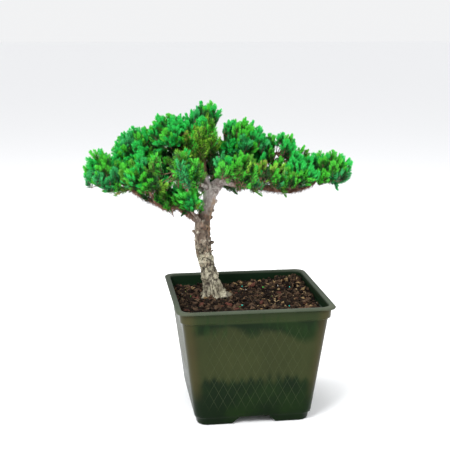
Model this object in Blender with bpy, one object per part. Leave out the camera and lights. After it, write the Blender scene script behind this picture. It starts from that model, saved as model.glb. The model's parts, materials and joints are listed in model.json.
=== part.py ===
"""A garden juniper grown as a young bonsai, with its square nursery pot and soil.

Metres, +Z up, the front of the pot towards -Y. The plan is worked out from the
middle of the pot's foot, and at the end everything moves so that the origin lies
under the middle of the whole plant, on the surface that the pot stands on.
"""

import math
import random
from collections import namedtuple

import bmesh
import bpy
import numpy as np
from mathutils import Matrix, Vector

# Clearances
GAP = 0.0003
LEAF_GAP = 0.0005
HAIR = 0.0000003
MOST_ATTEMPTS = 6

# Pot: one thin moulding with a rolled lip, a collar, tapering walls and four feet
RIM_WIDTH = 0.140
POT_HEIGHT = 0.1098
FOOT_WIDTH = 0.1012
WALL = 0.0013
FLOOR_TOP = 0.0086
FOOT_HEIGHT = 0.0070
FOOT_TAPER = 0.0022
FOOT_LEDGE = 0.0004
LIP_THICK = 0.0024
LIP_BEVEL = 0.0014
LIP_INSIDE = 0.0018
EDGE = 0.0012
COLLAR_HEIGHT = 0.0090
COLLAR_STEP = 0.0017
COLLAR_SLOPE = 0.0006
COLLAR_FLARE = 0.0004
BODY_TOP_WIDTH = 0.1292
BODY_FOOT_WIDTH = 0.1058
CORNER_RADIUS = 0.0095
CHANNEL_MOUTH = 0.040
CHANNEL_ROOF = 0.026
CHANNEL_DROP = 0.002
DRAIN_RADIUS = 0.0042
DRAIN_SPACING = 0.026
CORNER_STEPS = 3

# Soil: level round the trunk, heaped towards the back right corner
GROUND = 0.0990
SOIL_LIFT = 0.0012
SOIL_HEAP = 0.0066
SOIL_BUMP = 0.0006
HEAP_START = (-0.030, -0.045)
HEAP_RUN = (0.095, 0.105)
HEAP_CURVE = 1.3
LUMP_WAVES = (610, 540, 1130, -980)
DISC_RADIUS = 0.0205
SOIL_RINGS = 5
SOIL_SIDE_STEPS = 4

# Trunk: (x, y, z, radius) from below the ground cut, past the fork, to the leader's tip
TRUNK_STATIONS = (
    (-0.0270, 0.0200, 0.0950, 0.0098),
    (-0.0287, 0.0200, 0.1090, 0.0084),
    (-0.0332, 0.0206, 0.1285, 0.0071),
    (-0.0364, 0.0213, 0.1480, 0.0071),
    (-0.0375, 0.0215, 0.1670, 0.0073),
    (-0.0351, 0.0213, 0.1764, 0.0060),
    (-0.0312, 0.0211, 0.1905, 0.0060),
    (-0.0306, 0.0210, 0.2005, 0.0059),
    (-0.0342, 0.0209, 0.2085, 0.0029),
    (-0.0353, 0.0210, 0.2230, 0.0020),
    (-0.0338, 0.0210, 0.2510, 0.0013),
)
ROOT_BEARINGS = (-12, 62, 138, 205, 282)
ROOT_REACH = 0.0172
ROOT_TOP = 0.0095
ROOT_RADIUS = 0.0046
ROOT_END = 0.62
ROOT_START = 0.002
ROOT_KNEE = (0.55, 0.32)
ROOT_DIVE = 0.0022
STUBS = ((0.1590, 195, 0.0105), (0.1480, 350, 0.0102), (0.1870, 8, 0.0088))
STUB_RADIUS = 0.0026
STUB_RISE = 0.35
STUB_END = 0.6
TRUNK_SIDES = 10
LONG_SIDES = 8
BOUGH_SIDES = 6

# The two long boughs: (x, y, z) on their way out, from the trunk to the last bend
RIGHT_WAY = (
    (-0.0190, 0.0210, 0.2085),
    (-0.0070, 0.0200, 0.2060),
    (0.0130, 0.0180, 0.2032),
    (0.0365, 0.0160, 0.1998),
    (0.0470, 0.0158, 0.1996),
    (0.0590, 0.0150, 0.2022),
)
LEFT_WAY = (
    (-0.0520, 0.0185, 0.1800),
    (-0.0612, 0.0160, 0.1868),
    (-0.0725, 0.0140, 0.1862),
    (-0.0800, 0.0130, 0.1908),
    (-0.0960, 0.0130, 0.1990),
    (-0.1060, 0.0138, 0.2070),
)

# Masses of foliage: middle, half sizes (outwards, across, up), the limb that carries
# each one, how far along that limb its bough starts, and the bough's end radii
Mass = namedtuple("Mass", "name middle half limb along root tip")
MASSES = (
    Mass("apex", (-0.0335, 0.021, 0.265), (0.0165, 0.0175, 0.017), "trunk", None, None, None),
    Mass("left_crest", (-0.064, 0.017, 0.255), (0.024, 0.023, 0.018), "trunk", 0.7, 0.0027, 0.0012),
    Mass("left_shoulder", (-0.096, 0.026, 0.241), (0.021, 0.024, 0.018), "left_crest", 0.42, 0.0019, 0.0011),
    Mass("far_left", (-0.123, 0.015, 0.218), (0.0225, 0.024, 0.0195), "trunk", 0.478, 0.0032, 0.0014),
    Mass("left_low", (-0.092, -0.012, 0.221), (0.023, 0.0245, 0.018), "far_left", 0.58, 0.0019, 0.0011),
    Mass("left_inner", (-0.071, 0.008, 0.202), (0.0135, 0.0125, 0.0095), "far_left", 0.44, 0.0013, 0.0009),
    Mass("low_tuft", (-0.0535, 0.001, 0.197), (0.014, 0.014, 0.0175), "trunk", 0.455, 0.0022, 0.0012),
    Mass("front_left", (-0.064, -0.024, 0.231), (0.021, 0.022, 0.016), "trunk", 0.668, 0.0022, 0.0012),
    Mass("front_right", (-0.012, -0.026, 0.227), (0.021, 0.022, 0.015), "far_right", 0.1, 0.0021, 0.0011),
    Mass("right_crest", (-0.003, 0.019, 0.249), (0.0215, 0.023, 0.018), "far_right", 0.24, 0.0023, 0.0012),
    Mass("right_low", (0.017, -0.008, 0.221), (0.02, 0.022, 0.015), "far_right", 0.33, 0.0017, 0.001),
    Mass("right_shoulder", (0.033, 0.026, 0.236), (0.023, 0.024, 0.017), "far_right", 0.46, 0.0018, 0.0011),
    Mass("right_mid", (0.045, 0.003, 0.217), (0.022, 0.023, 0.0175), "far_right", 0.64, 0.0014, 0.001),
    Mass("far_right", (0.0785, 0.015, 0.2175), (0.0275, 0.023, 0.018), "trunk", 0.655, 0.0046, 0.0015),
    Mass("back_left", (-0.086, 0.062, 0.227), (0.025, 0.026, 0.017), "trunk", 0.64, 0.0026, 0.0012),
    Mass("back_mid", (-0.037, 0.068, 0.24), (0.025, 0.027, 0.0175), "trunk", 0.79, 0.0017, 0.0011),
    Mass("back_right", (0.014, 0.064, 0.23), (0.026, 0.026, 0.017), "trunk", 0.615, 0.0028, 0.0012),
    Mass("back_low", (0.052, 0.049, 0.216), (0.021, 0.021, 0.014), "far_right", 0.56, 0.0015, 0.001),
    Mass("back_inner", (-0.059, 0.043, 0.22), (0.019, 0.018, 0.014), "back_left", 0.4, 0.0015, 0.001),
    Mass("back_under", (0.001, 0.037, 0.204), (0.014, 0.014, 0.012), "far_right", 0.19, 0.0016, 0.001),
)
LONG_WAYS = {"far_left": LEFT_WAY, "far_right": RIGHT_WAY}

# How a short bough runs: it sags a little on its way, and thins towards its tip
BOUGH_STEPS = 8
BOUGH_SAG = 0.10
BOUGH_ALONG = 0.35
BOUGH_PULLS = (0.33, 0.36)
BOUGH_TAPER = 1.2

# How a mass grows: a stem to its heart, twigs round it by the golden angle, and on
# each twig a fan of stubby needle-clad shoots whose tips make its outline
HEART_DROP = 0.30
UNDERSIDE = 0.75
ENTRY = 0.88
CORE_SHARE = 0.56
CORE_FLAT = 0.78
CORE_ROUGH = 0.85
STEM_SUNK = 0.002
STEM_END = 0.8
TWIG_AREA = 0.000066
TWIG_RADIUS = 0.0012
TWIG_START = 0.2
TWIG_TAPER = 0.7
TWIG_TURN = 0.25
TWIG_END = 0.48
LOW_TWIG_END = 0.62
LOWEST_TWIG = -0.62
HIGHEST_TWIG = 0.97
SPRAY_FOOT = 0.90
SPRAY_SUNK = 0.0016
SPRAY_DEPTHS = (0.995, 0.90, 0.80, 0.70)
SPRAY_SHORT = 0.06

# A spray: a fan-shaped toothed blade, each tooth one stubby shoot
TEETH = 4
FAN_HALF_ANGLE = math.radians(46)
FAN_ROUND = 0.16
NOTCH_SHARE = 0.68
FAN_ROOT = 0.10
BLADE_MIDDLE = 0.46
BLADE_THICK = 0.13
BLADE_CUP = 0.16
SPOKE_SHARE = 0.6
GOLDEN_ANGLE = math.pi * (3 - math.sqrt(5))

PARTS = bpy.data.collections.new("garden_juniper_bonsai")
CUTTERS = bpy.data.collections.new("cutters")
RANDOM = random.Random()


def clear_scene():
    """Remove what the file starts with, and link the two collections."""
    for old in list(bpy.data.objects):
        bpy.data.objects.remove(old, do_unlink=True)
    bpy.context.scene.collection.children.link(PARTS)
    bpy.context.scene.collection.children.link(CUTTERS)


def plain_material(name, colour, roughness):
    """A Principled surface of one colour."""
    material = bpy.data.materials.new(name)
    material.use_nodes = True
    shader = material.node_tree.nodes["Principled BSDF"]
    shader.inputs["Base Color"].default_value = (*colour, 1.0)
    shader.inputs["Roughness"].default_value = roughness
    shader.inputs["Metallic"].default_value = 0.0
    return material


def add_object(name, mesh, collection=PARTS):
    """Put a mesh in the scene as one object."""
    piece = bpy.data.objects.new(name, mesh)
    collection.objects.link(piece)
    if collection is CUTTERS:
        piece.hide_render = True
        piece.display_type = "WIRE"
    return piece


def mesh_from(shape, name):
    """Turn a bmesh into a mesh with its faces pointing outwards."""
    bmesh.ops.recalc_face_normals(shape, faces=shape.faces)
    mesh = bpy.data.meshes.new(name)
    shape.to_mesh(mesh)
    shape.free()
    return mesh


def evaluated_mesh(piece):
    """The mesh of an object with its modifiers, or its curve's bevel, worked in."""
    bpy.context.view_layer.update()
    graph = bpy.context.evaluated_depsgraph_get()
    return bpy.data.meshes.new_from_object(piece.evaluated_get(graph))


def apply_modifiers(piece):
    """Replace an object's mesh by its evaluated one."""
    mesh = evaluated_mesh(piece)
    piece.modifiers.clear()
    old = piece.data
    piece.data = mesh
    bpy.data.meshes.remove(old)


def empty_out(collection):
    """Remove every object of a collection, with its mesh."""
    for helper in list(collection.objects):
        mesh = helper.data
        bpy.data.objects.remove(helper, do_unlink=True)
        bpy.data.meshes.remove(mesh)


def join_cutters(piece, operation):
    """One Boolean with all that is in the cutters' collection, applied; then empty it."""
    boolean = piece.modifiers.new("joined", "BOOLEAN")
    boolean.operation = operation
    boolean.operand_type = "COLLECTION"
    boolean.collection = CUTTERS
    boolean.solver = "EXACT"
    apply_modifiers(piece)
    empty_out(CUTTERS)


def keep_main_body(piece):
    """Drop loose scraps and the walls of sealed hollows: the largest body stays."""
    shape = bmesh.new()
    shape.from_mesh(piece.data)
    unseen = set(shape.faces)
    bodies = []
    while unseen:
        edge_of_search = [unseen.pop()]
        body = list(edge_of_search)
        while edge_of_search:
            face = edge_of_search.pop()
            for edge in face.edges:
                for other in edge.link_faces:
                    if other in unseen:
                        unseen.remove(other)
                        edge_of_search.append(other)
                        body.append(other)
        bodies.append(body)
    bodies.sort(key=lambda body: sum(face.calc_area() for face in body))
    spare = [face for body in bodies[:-1] for face in body]
    bmesh.ops.delete(shape, geom=spare, context="FACES")
    shape.to_mesh(piece.data)
    shape.free()


def rounded_square(width, height, side_steps=1):
    """Points round a square with rounded corners at one height, its sides in equal steps."""
    middle = width / 2 - CORNER_RADIUS
    points = []
    for quarter, (side_x, side_y) in enumerate(((1, 1), (-1, 1), (-1, -1), (1, -1))):
        for step in range(CORNER_STEPS + 1):
            angle = (quarter + step / CORNER_STEPS) * math.pi / 2
            points.append(Vector((
                side_x * middle + CORNER_RADIUS * math.cos(angle),
                side_y * middle + CORNER_RADIUS * math.sin(angle),
                height,
            )))
        turned = Matrix.Rotation((quarter + 1) * math.pi / 2, 3, "Z")
        ahead = turned @ Vector((0, 2 * middle / side_steps, 0))
        points += [points[-1] + ahead * step for step in range(1, side_steps)]
    return points


def loft(name, rings, collection=PARTS):
    """A closed skin through rings of equally many points, capped at both ends."""
    shape = bmesh.new()
    rows = [[shape.verts.new(point) for point in ring] for ring in rings]
    count = len(rows[0])
    for lower, upper in zip(rows, rows[1:]):
        for here in range(count):
            ahead = (here + 1) % count
            shape.faces.new((lower[here], lower[ahead], upper[ahead], upper[here]))
    shape.faces.new(rows[0])
    shape.faces.new(rows[-1])
    return add_object(name, mesh_from(shape, name), collection)


def channel_cutter(along_y):
    """The gap between the feet: a prism that narrows upwards, right through the pot."""
    reach = RIM_WIDTH
    mouth = CHANNEL_MOUTH / 2
    roof = CHANNEL_ROOF / 2
    spread = (mouth - roof) / FOOT_HEIGHT
    outline = (
        (-mouth - spread * CHANNEL_DROP, -CHANNEL_DROP),
        (mouth + spread * CHANNEL_DROP, -CHANNEL_DROP),
        (roof, FOOT_HEIGHT),
        (-roof, FOOT_HEIGHT),
    )
    rings = [[(side, end, height) for side, height in outline] for end in (-reach, reach)]
    if not along_y:
        rings = [[(-y, x, z) for x, y, z in ring] for ring in rings]
    loft("channel", rings, CUTTERS)


def drain_cutter(x, y):
    """A round hole through the pot's floor."""
    shape = bmesh.new()
    bmesh.ops.create_cone(shape, cap_ends=True, segments=12, radius1=DRAIN_RADIUS,
                          radius2=DRAIN_RADIUS, depth=FLOOR_TOP,
                          matrix=Matrix.Translation((x, y, FLOOR_TOP)))
    add_object("drain", mesh_from(shape, "drain"), CUTTERS)


def inner_width(height):
    """The clear width inside the pot at a height."""
    foot = BODY_FOOT_WIDTH - 2 * WALL
    top = BODY_TOP_WIDTH - 2 * WALL
    collar_foot = POT_HEIGHT - LIP_THICK - COLLAR_HEIGHT
    share = (height - FLOOR_TOP) / (collar_foot - FLOOR_TOP)
    if share <= 1:
        return foot + (top - foot) * share
    return top + 2 * COLLAR_STEP


def make_pot():
    """The pot as one loft down the outside and up the inside, with channels and drains cut."""
    lip_foot = POT_HEIGHT - LIP_THICK
    collar_foot = lip_foot - COLLAR_HEIGHT
    collar = BODY_TOP_WIDTH + 2 * COLLAR_STEP
    step = collar_foot + COLLAR_SLOPE
    outer = (
        (FOOT_WIDTH - 2 * EDGE, 0.0),
        (FOOT_WIDTH, EDGE),
        (FOOT_WIDTH + FOOT_TAPER, FOOT_HEIGHT),
        (BODY_FOOT_WIDTH, FOOT_HEIGHT + FOOT_LEDGE),
        (BODY_TOP_WIDTH, collar_foot),
        (collar, step),
        (collar + COLLAR_FLARE, lip_foot),
        (RIM_WIDTH - EDGE, lip_foot),
        (RIM_WIDTH, lip_foot + LIP_THICK / 2),
        (RIM_WIDTH - LIP_BEVEL, POT_HEIGHT),
        (inner_width(POT_HEIGHT) + LIP_INSIDE, POT_HEIGHT),
        (inner_width(POT_HEIGHT), POT_HEIGHT - EDGE),
        (inner_width(step), step),
        (inner_width(collar_foot), collar_foot),
        (inner_width(FLOOR_TOP), FLOOR_TOP),
    )
    pot = loft("pot", [rounded_square(width, height) for width, height in outer])
    channel_cutter(along_y=True)
    channel_cutter(along_y=False)
    for x, y in ((0, 0), (1, 0), (-1, 0), (0, 1), (0, -1)):
        drain_cutter(x * DRAIN_SPACING, y * DRAIN_SPACING)
    join_cutters(pot, "DIFFERENCE")
    pot.data.materials.append(plain_material("green_plastic", (0.028, 0.062, 0.022), 0.38))
    return pot


def soil_height(x, y):
    """The soil's surface: nearly level, heaped at the back right, with small lumps."""
    side = np.clip((x - HEAP_START[0]) / HEAP_RUN[0], 0, 1) ** HEAP_CURVE
    heap = side * np.clip((y - HEAP_START[1]) / HEAP_RUN[1], 0, 1)
    broad_x, broad_y, fine_x, fine_y = LUMP_WAVES
    lumps = math.sin(x * broad_x) * math.sin(y * broad_y) + math.sin(x * fine_x + y * fine_y) / 2
    return GROUND + SOIL_LIFT + SOIL_HEAP * heap + SOIL_BUMP * lumps


def make_soil():
    """Soil that fills the pot: walls by the pot's taper, a bumpy top, a flat disc under the trunk."""
    foot = FLOOR_TOP + GAP
    shoulder = POT_HEIGHT - LIP_THICK - COLLAR_HEIGHT - GAP
    rings = [
        rounded_square(inner_width(height) - 2 * GAP, height, SOIL_SIDE_STEPS)
        for height in (foot, shoulder)
    ]
    edge = rounded_square(inner_width(POT_HEIGHT) - 4 * GAP, GROUND, SOIL_SIDE_STEPS)
    base_x, base_y = TRUNK_STATIONS[0][:2]
    first = math.pi / 4 - math.pi / len(edge) * CORNER_STEPS
    turns = first + np.linspace(0, 2 * math.pi, len(edge), endpoint=False)
    disc = [(base_x + DISC_RADIUS * math.cos(turn), base_y + DISC_RADIUS * math.sin(turn)) for turn in turns]
    for ring in range(SOIL_RINGS):
        share = ring / SOIL_RINGS
        plan = [(x + (dx - x) * share, y + (dy - y) * share) for (x, y, _), (dx, dy) in zip(edge, disc)]
        rings.append([(x, y, soil_height(x, y)) for x, y in plan])
    rings.append([(x, y, GROUND - GAP) for x, y in disc])
    soil = loft("soil", rings)
    soil.data.materials.append(plain_material("potting_soil", (0.035, 0.020, 0.014), 0.95))
    return soil


def smooth_line(stations, steps):
    """A smooth curve through the stations, as evenly stepped rows (Catmull-Rom)."""
    rows = np.array(stations, float)
    padded = np.vstack([2 * rows[0] - rows[1], rows, 2 * rows[-1] - rows[-2]])
    line = []
    for p0, p1, p2, p3 in zip(padded, padded[1:], padded[2:], padded[3:]):
        for step in range(steps):
            t = step / steps
            line.append(0.5 * (2 * p1 + (p2 - p0) * t + (2 * p0 - 5 * p1 + 4 * p2 - p3) * t ** 2
                               + (3 * p1 - p0 - 3 * p2 + p3) * t ** 3))
    line.append(rows[-1])
    return np.array(line)


def bezier(start, leave, arrive, end, steps):
    """Points on a cubic curve from start to end."""
    t = np.linspace(0, 1, steps)[:, None]
    return (1 - t) ** 3 * start + 3 * (1 - t) ** 2 * t * leave + 3 * (1 - t) * t ** 2 * arrive + t ** 3 * end


def tube(name, points, radii, sides, collection=PARTS):
    """A tapering round limb along its points: a beveled curve turned into a welded mesh."""
    curve = bpy.data.curves.new(name, "CURVE")
    curve.dimensions = "3D"
    curve.bevel_depth = 1.0
    curve.bevel_resolution = sides // 2 - 2
    curve.use_fill_caps = True
    spline = curve.splines.new("POLY")
    spline.points.add(len(points) - 1)
    for knot, point, radius in zip(spline.points, points, radii):
        knot.co = (*point, 1.0)
        knot.radius = radius
    source = add_object(name + "_curve", curve)
    shape = bmesh.new()
    shape.from_mesh(evaluated_mesh(source))
    bmesh.ops.remove_doubles(shape, verts=shape.verts, dist=1e-6)
    limb = add_object(name, mesh_from(shape, name), collection)
    limb.matrix_world = source.matrix_world.copy()
    bpy.data.objects.remove(source, do_unlink=True)
    bpy.data.curves.remove(curve)
    return limb


def along_line(line, share):
    """The place, direction and radius at a share of a limb's length."""
    steps = np.linalg.norm(np.diff(line[:, :3], axis=0), axis=1)
    travelled = np.concatenate([[0], np.cumsum(steps)])
    here = [np.interp(share * travelled[-1], travelled, line[:, column]) for column in range(4)]
    index = min(int(np.searchsorted(travelled, share * travelled[-1])), len(steps) - 1)
    way = line[index + 1, :3] - line[index, :3]
    return np.array(here[:3]), way / np.linalg.norm(way), here[3]


def sides_of(name):
    """How many sides a limb's section has: more on the thick ones."""
    if name == "trunk":
        return TRUNK_SIDES
    return LONG_SIDES if name in LONG_WAYS else BOUGH_SIDES


def make_trunk(line, bark):
    """The trunk with its root flare and stubs, cut flat at the ground, up to the leader's tip."""
    trunk = tube("trunk", line[:, :3], line[:, 3], sides_of("trunk"))
    base = np.array(TRUNK_STATIONS[0][:2])
    for bearing in ROOT_BEARINGS:
        out = np.array([math.cos(math.radians(bearing)), math.sin(math.radians(bearing))])
        top = (*(base + out * ROOT_START), GROUND + ROOT_TOP)
        knee = (*(base + out * ROOT_REACH * ROOT_KNEE[0]), GROUND + ROOT_TOP * ROOT_KNEE[1])
        tip = (*(base + out * ROOT_REACH), GROUND - ROOT_DIVE)
        root = smooth_line((top, knee, tip), 3)
        tube("root", root, np.linspace(ROOT_RADIUS, ROOT_RADIUS * ROOT_END, len(root)), BOUGH_SIDES, CUTTERS)
    for height, bearing, reach in STUBS:
        share = np.interp(height, line[:, 2], np.arange(len(line)))
        middle = np.array([np.interp(share, np.arange(len(line)), line[:, axis]) for axis in range(3)])
        angle = math.radians(bearing)
        out = np.array([math.cos(angle), math.sin(angle), STUB_RISE])
        radii = (STUB_RADIUS, STUB_RADIUS * STUB_END)
        tube("stub", (middle, middle + out * reach), radii, BOUGH_SIDES, CUTTERS)
    join_cutters(trunk, "UNION")
    below = bmesh.new()
    size = 4 * DISC_RADIUS
    bmesh.ops.create_cube(below, size=size, matrix=Matrix.Translation((*base, GROUND - size / 2)))
    add_object("ground_cut", mesh_from(below, "ground_cut"), CUTTERS)
    join_cutters(trunk, "DIFFERENCE")
    keep_main_body(trunk)
    trunk.data.materials.append(bark)
    return trunk


def axes_of(mass):
    """A mass's own directions: outwards from the leader, across, and up."""
    out = Vector((mass.middle[0] - TRUNK_STATIONS[-1][0], mass.middle[1] - TRUNK_STATIONS[-1][1], 0))
    out = Vector((1, 0, 0)) if mass.limb == "trunk" and mass.along is None else out.normalized()
    return np.array([out, Vector((-out.y, out.x, 0)), (0, 0, 1)])


def depth_in(mass, points, share=1.0):
    """How deep points lie in a mass's space: 0 at its middle, 1 on its outline."""
    local = (np.atleast_2d(points) - np.array(mass.middle)) @ axes_of(mass).T
    half = np.tile(np.array(mass.half) * share, (len(local), 1))
    half[local[:, 2] < 0, 2] *= UNDERSIDE
    return np.linalg.norm(local / half, axis=1)


def place_in(mass, direction, depth):
    """The point at a depth in a mass, towards a direction of a unit ball."""
    half = np.array(mass.half)
    if direction[2] < 0:
        half = half * (1, 1, UNDERSIDE)
    return np.array(mass.middle) + (direction * half * depth) @ axes_of(mass)


def heart_of(mass):
    """Where a mass's stem ends and its twigs start: a little below the middle."""
    return np.array(mass.middle) - np.array([0, 0, mass.half[2] * UNDERSIDE * HEART_DROP])


def entry_of(mass, last_bend):
    """Where a bough that comes from its last bend enters a mass, and the way it points there."""
    heart = heart_of(mass)
    way = heart - last_bend
    way = way / np.linalg.norm(way)
    shares = np.linspace(0, 1, 200)[:, None]
    approach = last_bend + (heart - last_bend) * shares
    inside = depth_in(mass, approach) < ENTRY
    return approach[int(np.argmax(inside))], way


def bough_line(mass, lines):
    """A bough's centre line and radii, from its carrier's middle to where it enters its mass."""
    start, along, _ = along_line(lines[mass.limb], mass.along)
    if mass.name in LONG_WAYS:
        way = LONG_WAYS[mass.name]
        entry, _ = entry_of(mass, np.array(way[-1]))
        points = smooth_line((tuple(start), *way, tuple(entry)), 2)
    else:
        heart = heart_of(mass)
        reach = heart - start
        bend = start + reach / 2 - np.array([0, 0, BOUGH_SAG * np.linalg.norm(reach)])
        entry, into = entry_of(mass, bend)
        length = np.linalg.norm(entry - start)
        leave = BOUGH_ALONG * along + (1 - BOUGH_ALONG) * (entry - start) / length
        first = start + leave * length * BOUGH_PULLS[0]
        last = entry - into * length * BOUGH_PULLS[1]
        points = bezier(start, first, last, entry, BOUGH_STEPS)
    radii = mass.tip + (mass.root - mass.tip) * (1 - np.linspace(0, 1, len(points))) ** BOUGH_TAPER
    return np.column_stack([points, radii])


def make_bough(mass, lines, bark):
    """A bough cut to the surface of its carrier and of thicker boughs beside it, a small gap clear."""
    line = lines[mass.name]
    bough = tube("bough_" + mass.name, line[:, :3], line[:, 3], sides_of(mass.name))
    for name, other in lines.items():
        beside = [entry.name for entry in MASSES if entry.limb == mass.limb and entry.name != mass.name]
        if name == mass.limb or name in beside:
            tube("neighbour", other[:, :3], other[:, 3] + GAP, sides_of(name), CUTTERS)
    join_cutters(bough, "DIFFERENCE")
    keep_main_body(bough)
    bough.data.materials.append(bark)
    return bough


def rods_of(line):
    """A limb as straight rods: start, end and radius of each."""
    return [(a[:3], b[:3], max(a[3], b[3])) for a, b in zip(line, line[1:])]


def clear_of(rods, start, end, radius):
    """Whether a rod keeps clear of all the others."""
    if not rods:
        return True
    tests = start + (end - start) * np.linspace(0, 1, 9)[:, None]
    heads = np.array([rod[0] for rod in rods])
    runs = np.array([rod[1] for rod in rods]) - heads
    radii = np.array([rod[2] for rod in rods])
    offset = tests[:, None, :] - heads
    share = np.clip((offset * runs).sum(2) / (runs ** 2).sum(1), 0, 1)
    distance = np.linalg.norm(offset - share[:, :, None] * runs, axis=2)
    return bool((distance - radii - radius > LEAF_GAP).all())


def in_own_space(mass, points, radius):
    """Whether points lie in this mass and nearer to it than to any other."""
    own = depth_in(mass, points)
    if own.max() > 1.0:
        return False
    for other in MASSES:
        if other.name == mass.name:
            continue
        if (depth_in(other, points) < own).any():
            return False
        core = depth_in(other, points, CORE_SHARE)
        if (core < 1.0 + (radius + 2 * LEAF_GAP) / (min(other.half) * CORE_SHARE)).any():
            return False
    return True


def add_cone(start, end, start_radius, end_radius):
    """A three-sided twig between two points."""
    run = Vector(end - start)
    shape = bmesh.new()
    place = Matrix.Translation((start + end) / 2) @ run.to_track_quat("Z", "Y").to_matrix().to_4x4()
    bmesh.ops.create_cone(shape, cap_ends=True, segments=3, radius1=start_radius,
                          radius2=end_radius, depth=run.length, matrix=place)
    return mesh_from(shape, "twig")


def spray_outline(root, tip, side, cup):
    """The corners of a fan-shaped blade: its narrow root, then teeth and the notches between them."""
    run = tip - root
    length = np.linalg.norm(run)
    along = run / length
    front = np.cross(side, along)
    corners = []
    for number in range(2 * TEETH - 1):
        turn = FAN_HALF_ANGLE * (number / (TEETH - 1) - 1)
        reach = length * (1 - FAN_ROUND * (turn / FAN_HALF_ANGLE) ** 2)
        if number % 2:
            reach *= NOTCH_SHARE
        flat = root + reach * (along * math.cos(turn) + side * math.sin(turn))
        corners.append(flat + front * cup * length * (turn / FAN_HALF_ANGLE) ** 2)
    foot = side * length * FAN_ROOT
    return [root - foot, *corners, root + foot], root + run * BLADE_MIDDLE, front * length * BLADE_THICK


def add_spray(outline, middle, bulge):
    """A toothed blade with a sharp edge: both sides rise from the outline to a thick middle."""
    shape = bmesh.new()
    edge = [shape.verts.new(point) for point in outline]
    for side, step in ((1, 1), (-1, -1)):
        peak = shape.verts.new(middle + bulge * side)
        ring = edge[::step]
        for here, ahead in zip(ring, ring[1:] + ring[:1]):
            shape.faces.new((peak, here, ahead))
    return mesh_from(shape, "spray")


def add_core(mass):
    """The dense inside of a mass: a rough flat lump round its heart that the sprays stand out of."""
    shape = bmesh.new()
    bmesh.ops.create_icosphere(shape, subdivisions=1, radius=1.0)
    for point in shape.verts:
        rough = np.array(mass.half) * CORE_SHARE * RANDOM.uniform(CORE_ROUGH, 1.0)
        point.co = Vector(heart_of(mass) + (np.array(point.co) * rough * (1, 1, CORE_FLAT)) @ axes_of(mass))
    return mesh_from(shape, "core")


def fit_spray(mass, foot, towards, roll, rods, blades):
    """The longest toothed blade that fits from a twig towards a direction, clear of the other blades."""
    cup = RANDOM.uniform(-BLADE_CUP, BLADE_CUP)
    short = RANDOM.uniform(0.0, SPRAY_SHORT)
    for depth in SPRAY_DEPTHS:
        tip = place_in(mass, towards, depth - short)
        root = foot - (tip - foot) / np.linalg.norm(tip - foot) * SPRAY_SUNK
        along = (tip - root) / np.linalg.norm(tip - root)
        level = np.cross(along, (0.2, 0.1, 1.0))
        level = level / np.linalg.norm(level)
        side = level * math.cos(roll) + np.cross(along, level) * math.sin(roll)
        outline, middle, bulge = spray_outline(root, tip, side, cup)
        teeth = outline[1::2]
        radius = np.linalg.norm(bulge)
        spokes = [(middle, tooth, radius * SPOKE_SHARE) for tooth in teeth]
        fits = in_own_space(mass, np.array(teeth + [middle]), radius * 0.5)
        fits = fits and clear_of(rods, root, middle, radius)
        if fits and all(clear_of(rods + blades, *spoke) for spoke in spokes):
            return (outline, middle, bulge), spokes
    return None, []


def grow(mass, line, rods):
    """All solids of one mass, and the rods that later masses keep clear of."""
    heart = heart_of(mass)
    into = heart - line[-1, :3]
    if mass.along is None:
        into = line[-1, :3] - line[-2, :3]
    into = into / np.linalg.norm(into)
    stem_foot = line[-1, :3] + into * GAP
    stem_radius = line[-1, 3]
    solids = [add_cone(stem_foot, heart + into * STEM_SUNK, stem_radius, stem_radius * STEM_END)]
    own = [(stem_foot, heart, stem_radius)]
    blades = []
    out, across, up = mass.half
    twigs = round((out * across + up * (out + across) / 2) / TWIG_AREA)
    for twig in range(twigs):
        rise = HIGHEST_TWIG + (LOWEST_TWIG - HIGHEST_TWIG) * (twig + 0.5) / twigs
        bearing = twig * GOLDEN_ANGLE + RANDOM.uniform(-TWIG_TURN, TWIG_TURN)
        flat = math.sqrt(1 - rise ** 2)
        aim = np.array([flat * math.cos(bearing), flat * math.sin(bearing), rise])
        end = place_in(mass, aim, TWIG_END if rise > 0 else LOW_TWIG_END)
        base = heart + (end - heart) * TWIG_START
        if not in_own_space(mass, end, TWIG_RADIUS) or not clear_of(rods, base, end, TWIG_RADIUS):
            continue
        solids.append(add_cone(base, end, TWIG_RADIUS, TWIG_RADIUS * TWIG_TAPER))
        own.append((base, end, TWIG_RADIUS))
        foot = base + (end - base) * SPRAY_FOOT
        blade, spokes = fit_spray(mass, foot, aim, RANDOM.uniform(0, math.pi), rods, blades)
        if blade:
            solids.append(add_spray(*blade))
            blades += spokes
    return solids, own + blades


def is_sound(mesh):
    """Whether a mesh stays one closed skin when points a hair apart count as one."""
    shape = bmesh.new()
    shape.from_mesh(mesh)
    bmesh.ops.remove_doubles(shape, verts=shape.verts, dist=HAIR)
    sound = all(edge.is_manifold for edge in shape.edges) and all(point.is_manifold for point in shape.verts)
    shape.free()
    return sound


def make_mass(mass, line, rods, green):
    """One mass of foliage as one solid, grown again with other draws if its skin isn't sound."""
    for attempt in range(MOST_ATTEMPTS):
        RANDOM.seed(100 * MASSES.index(mass) + attempt)
        foliage = add_object("foliage_" + mass.name, add_core(mass))
        solids, own = grow(mass, line, rods)
        for number, solid in enumerate(solids):
            add_object("piece_%02d" % number, solid, CUTTERS)
        join_cutters(foliage, "UNION")
        keep_main_body(foliage)
        if is_sound(foliage.data):
            break
        print("growing again:", foliage.name)
        bpy.data.objects.remove(foliage, do_unlink=True)
    foliage.data.materials.append(green)
    return foliage, own


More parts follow.
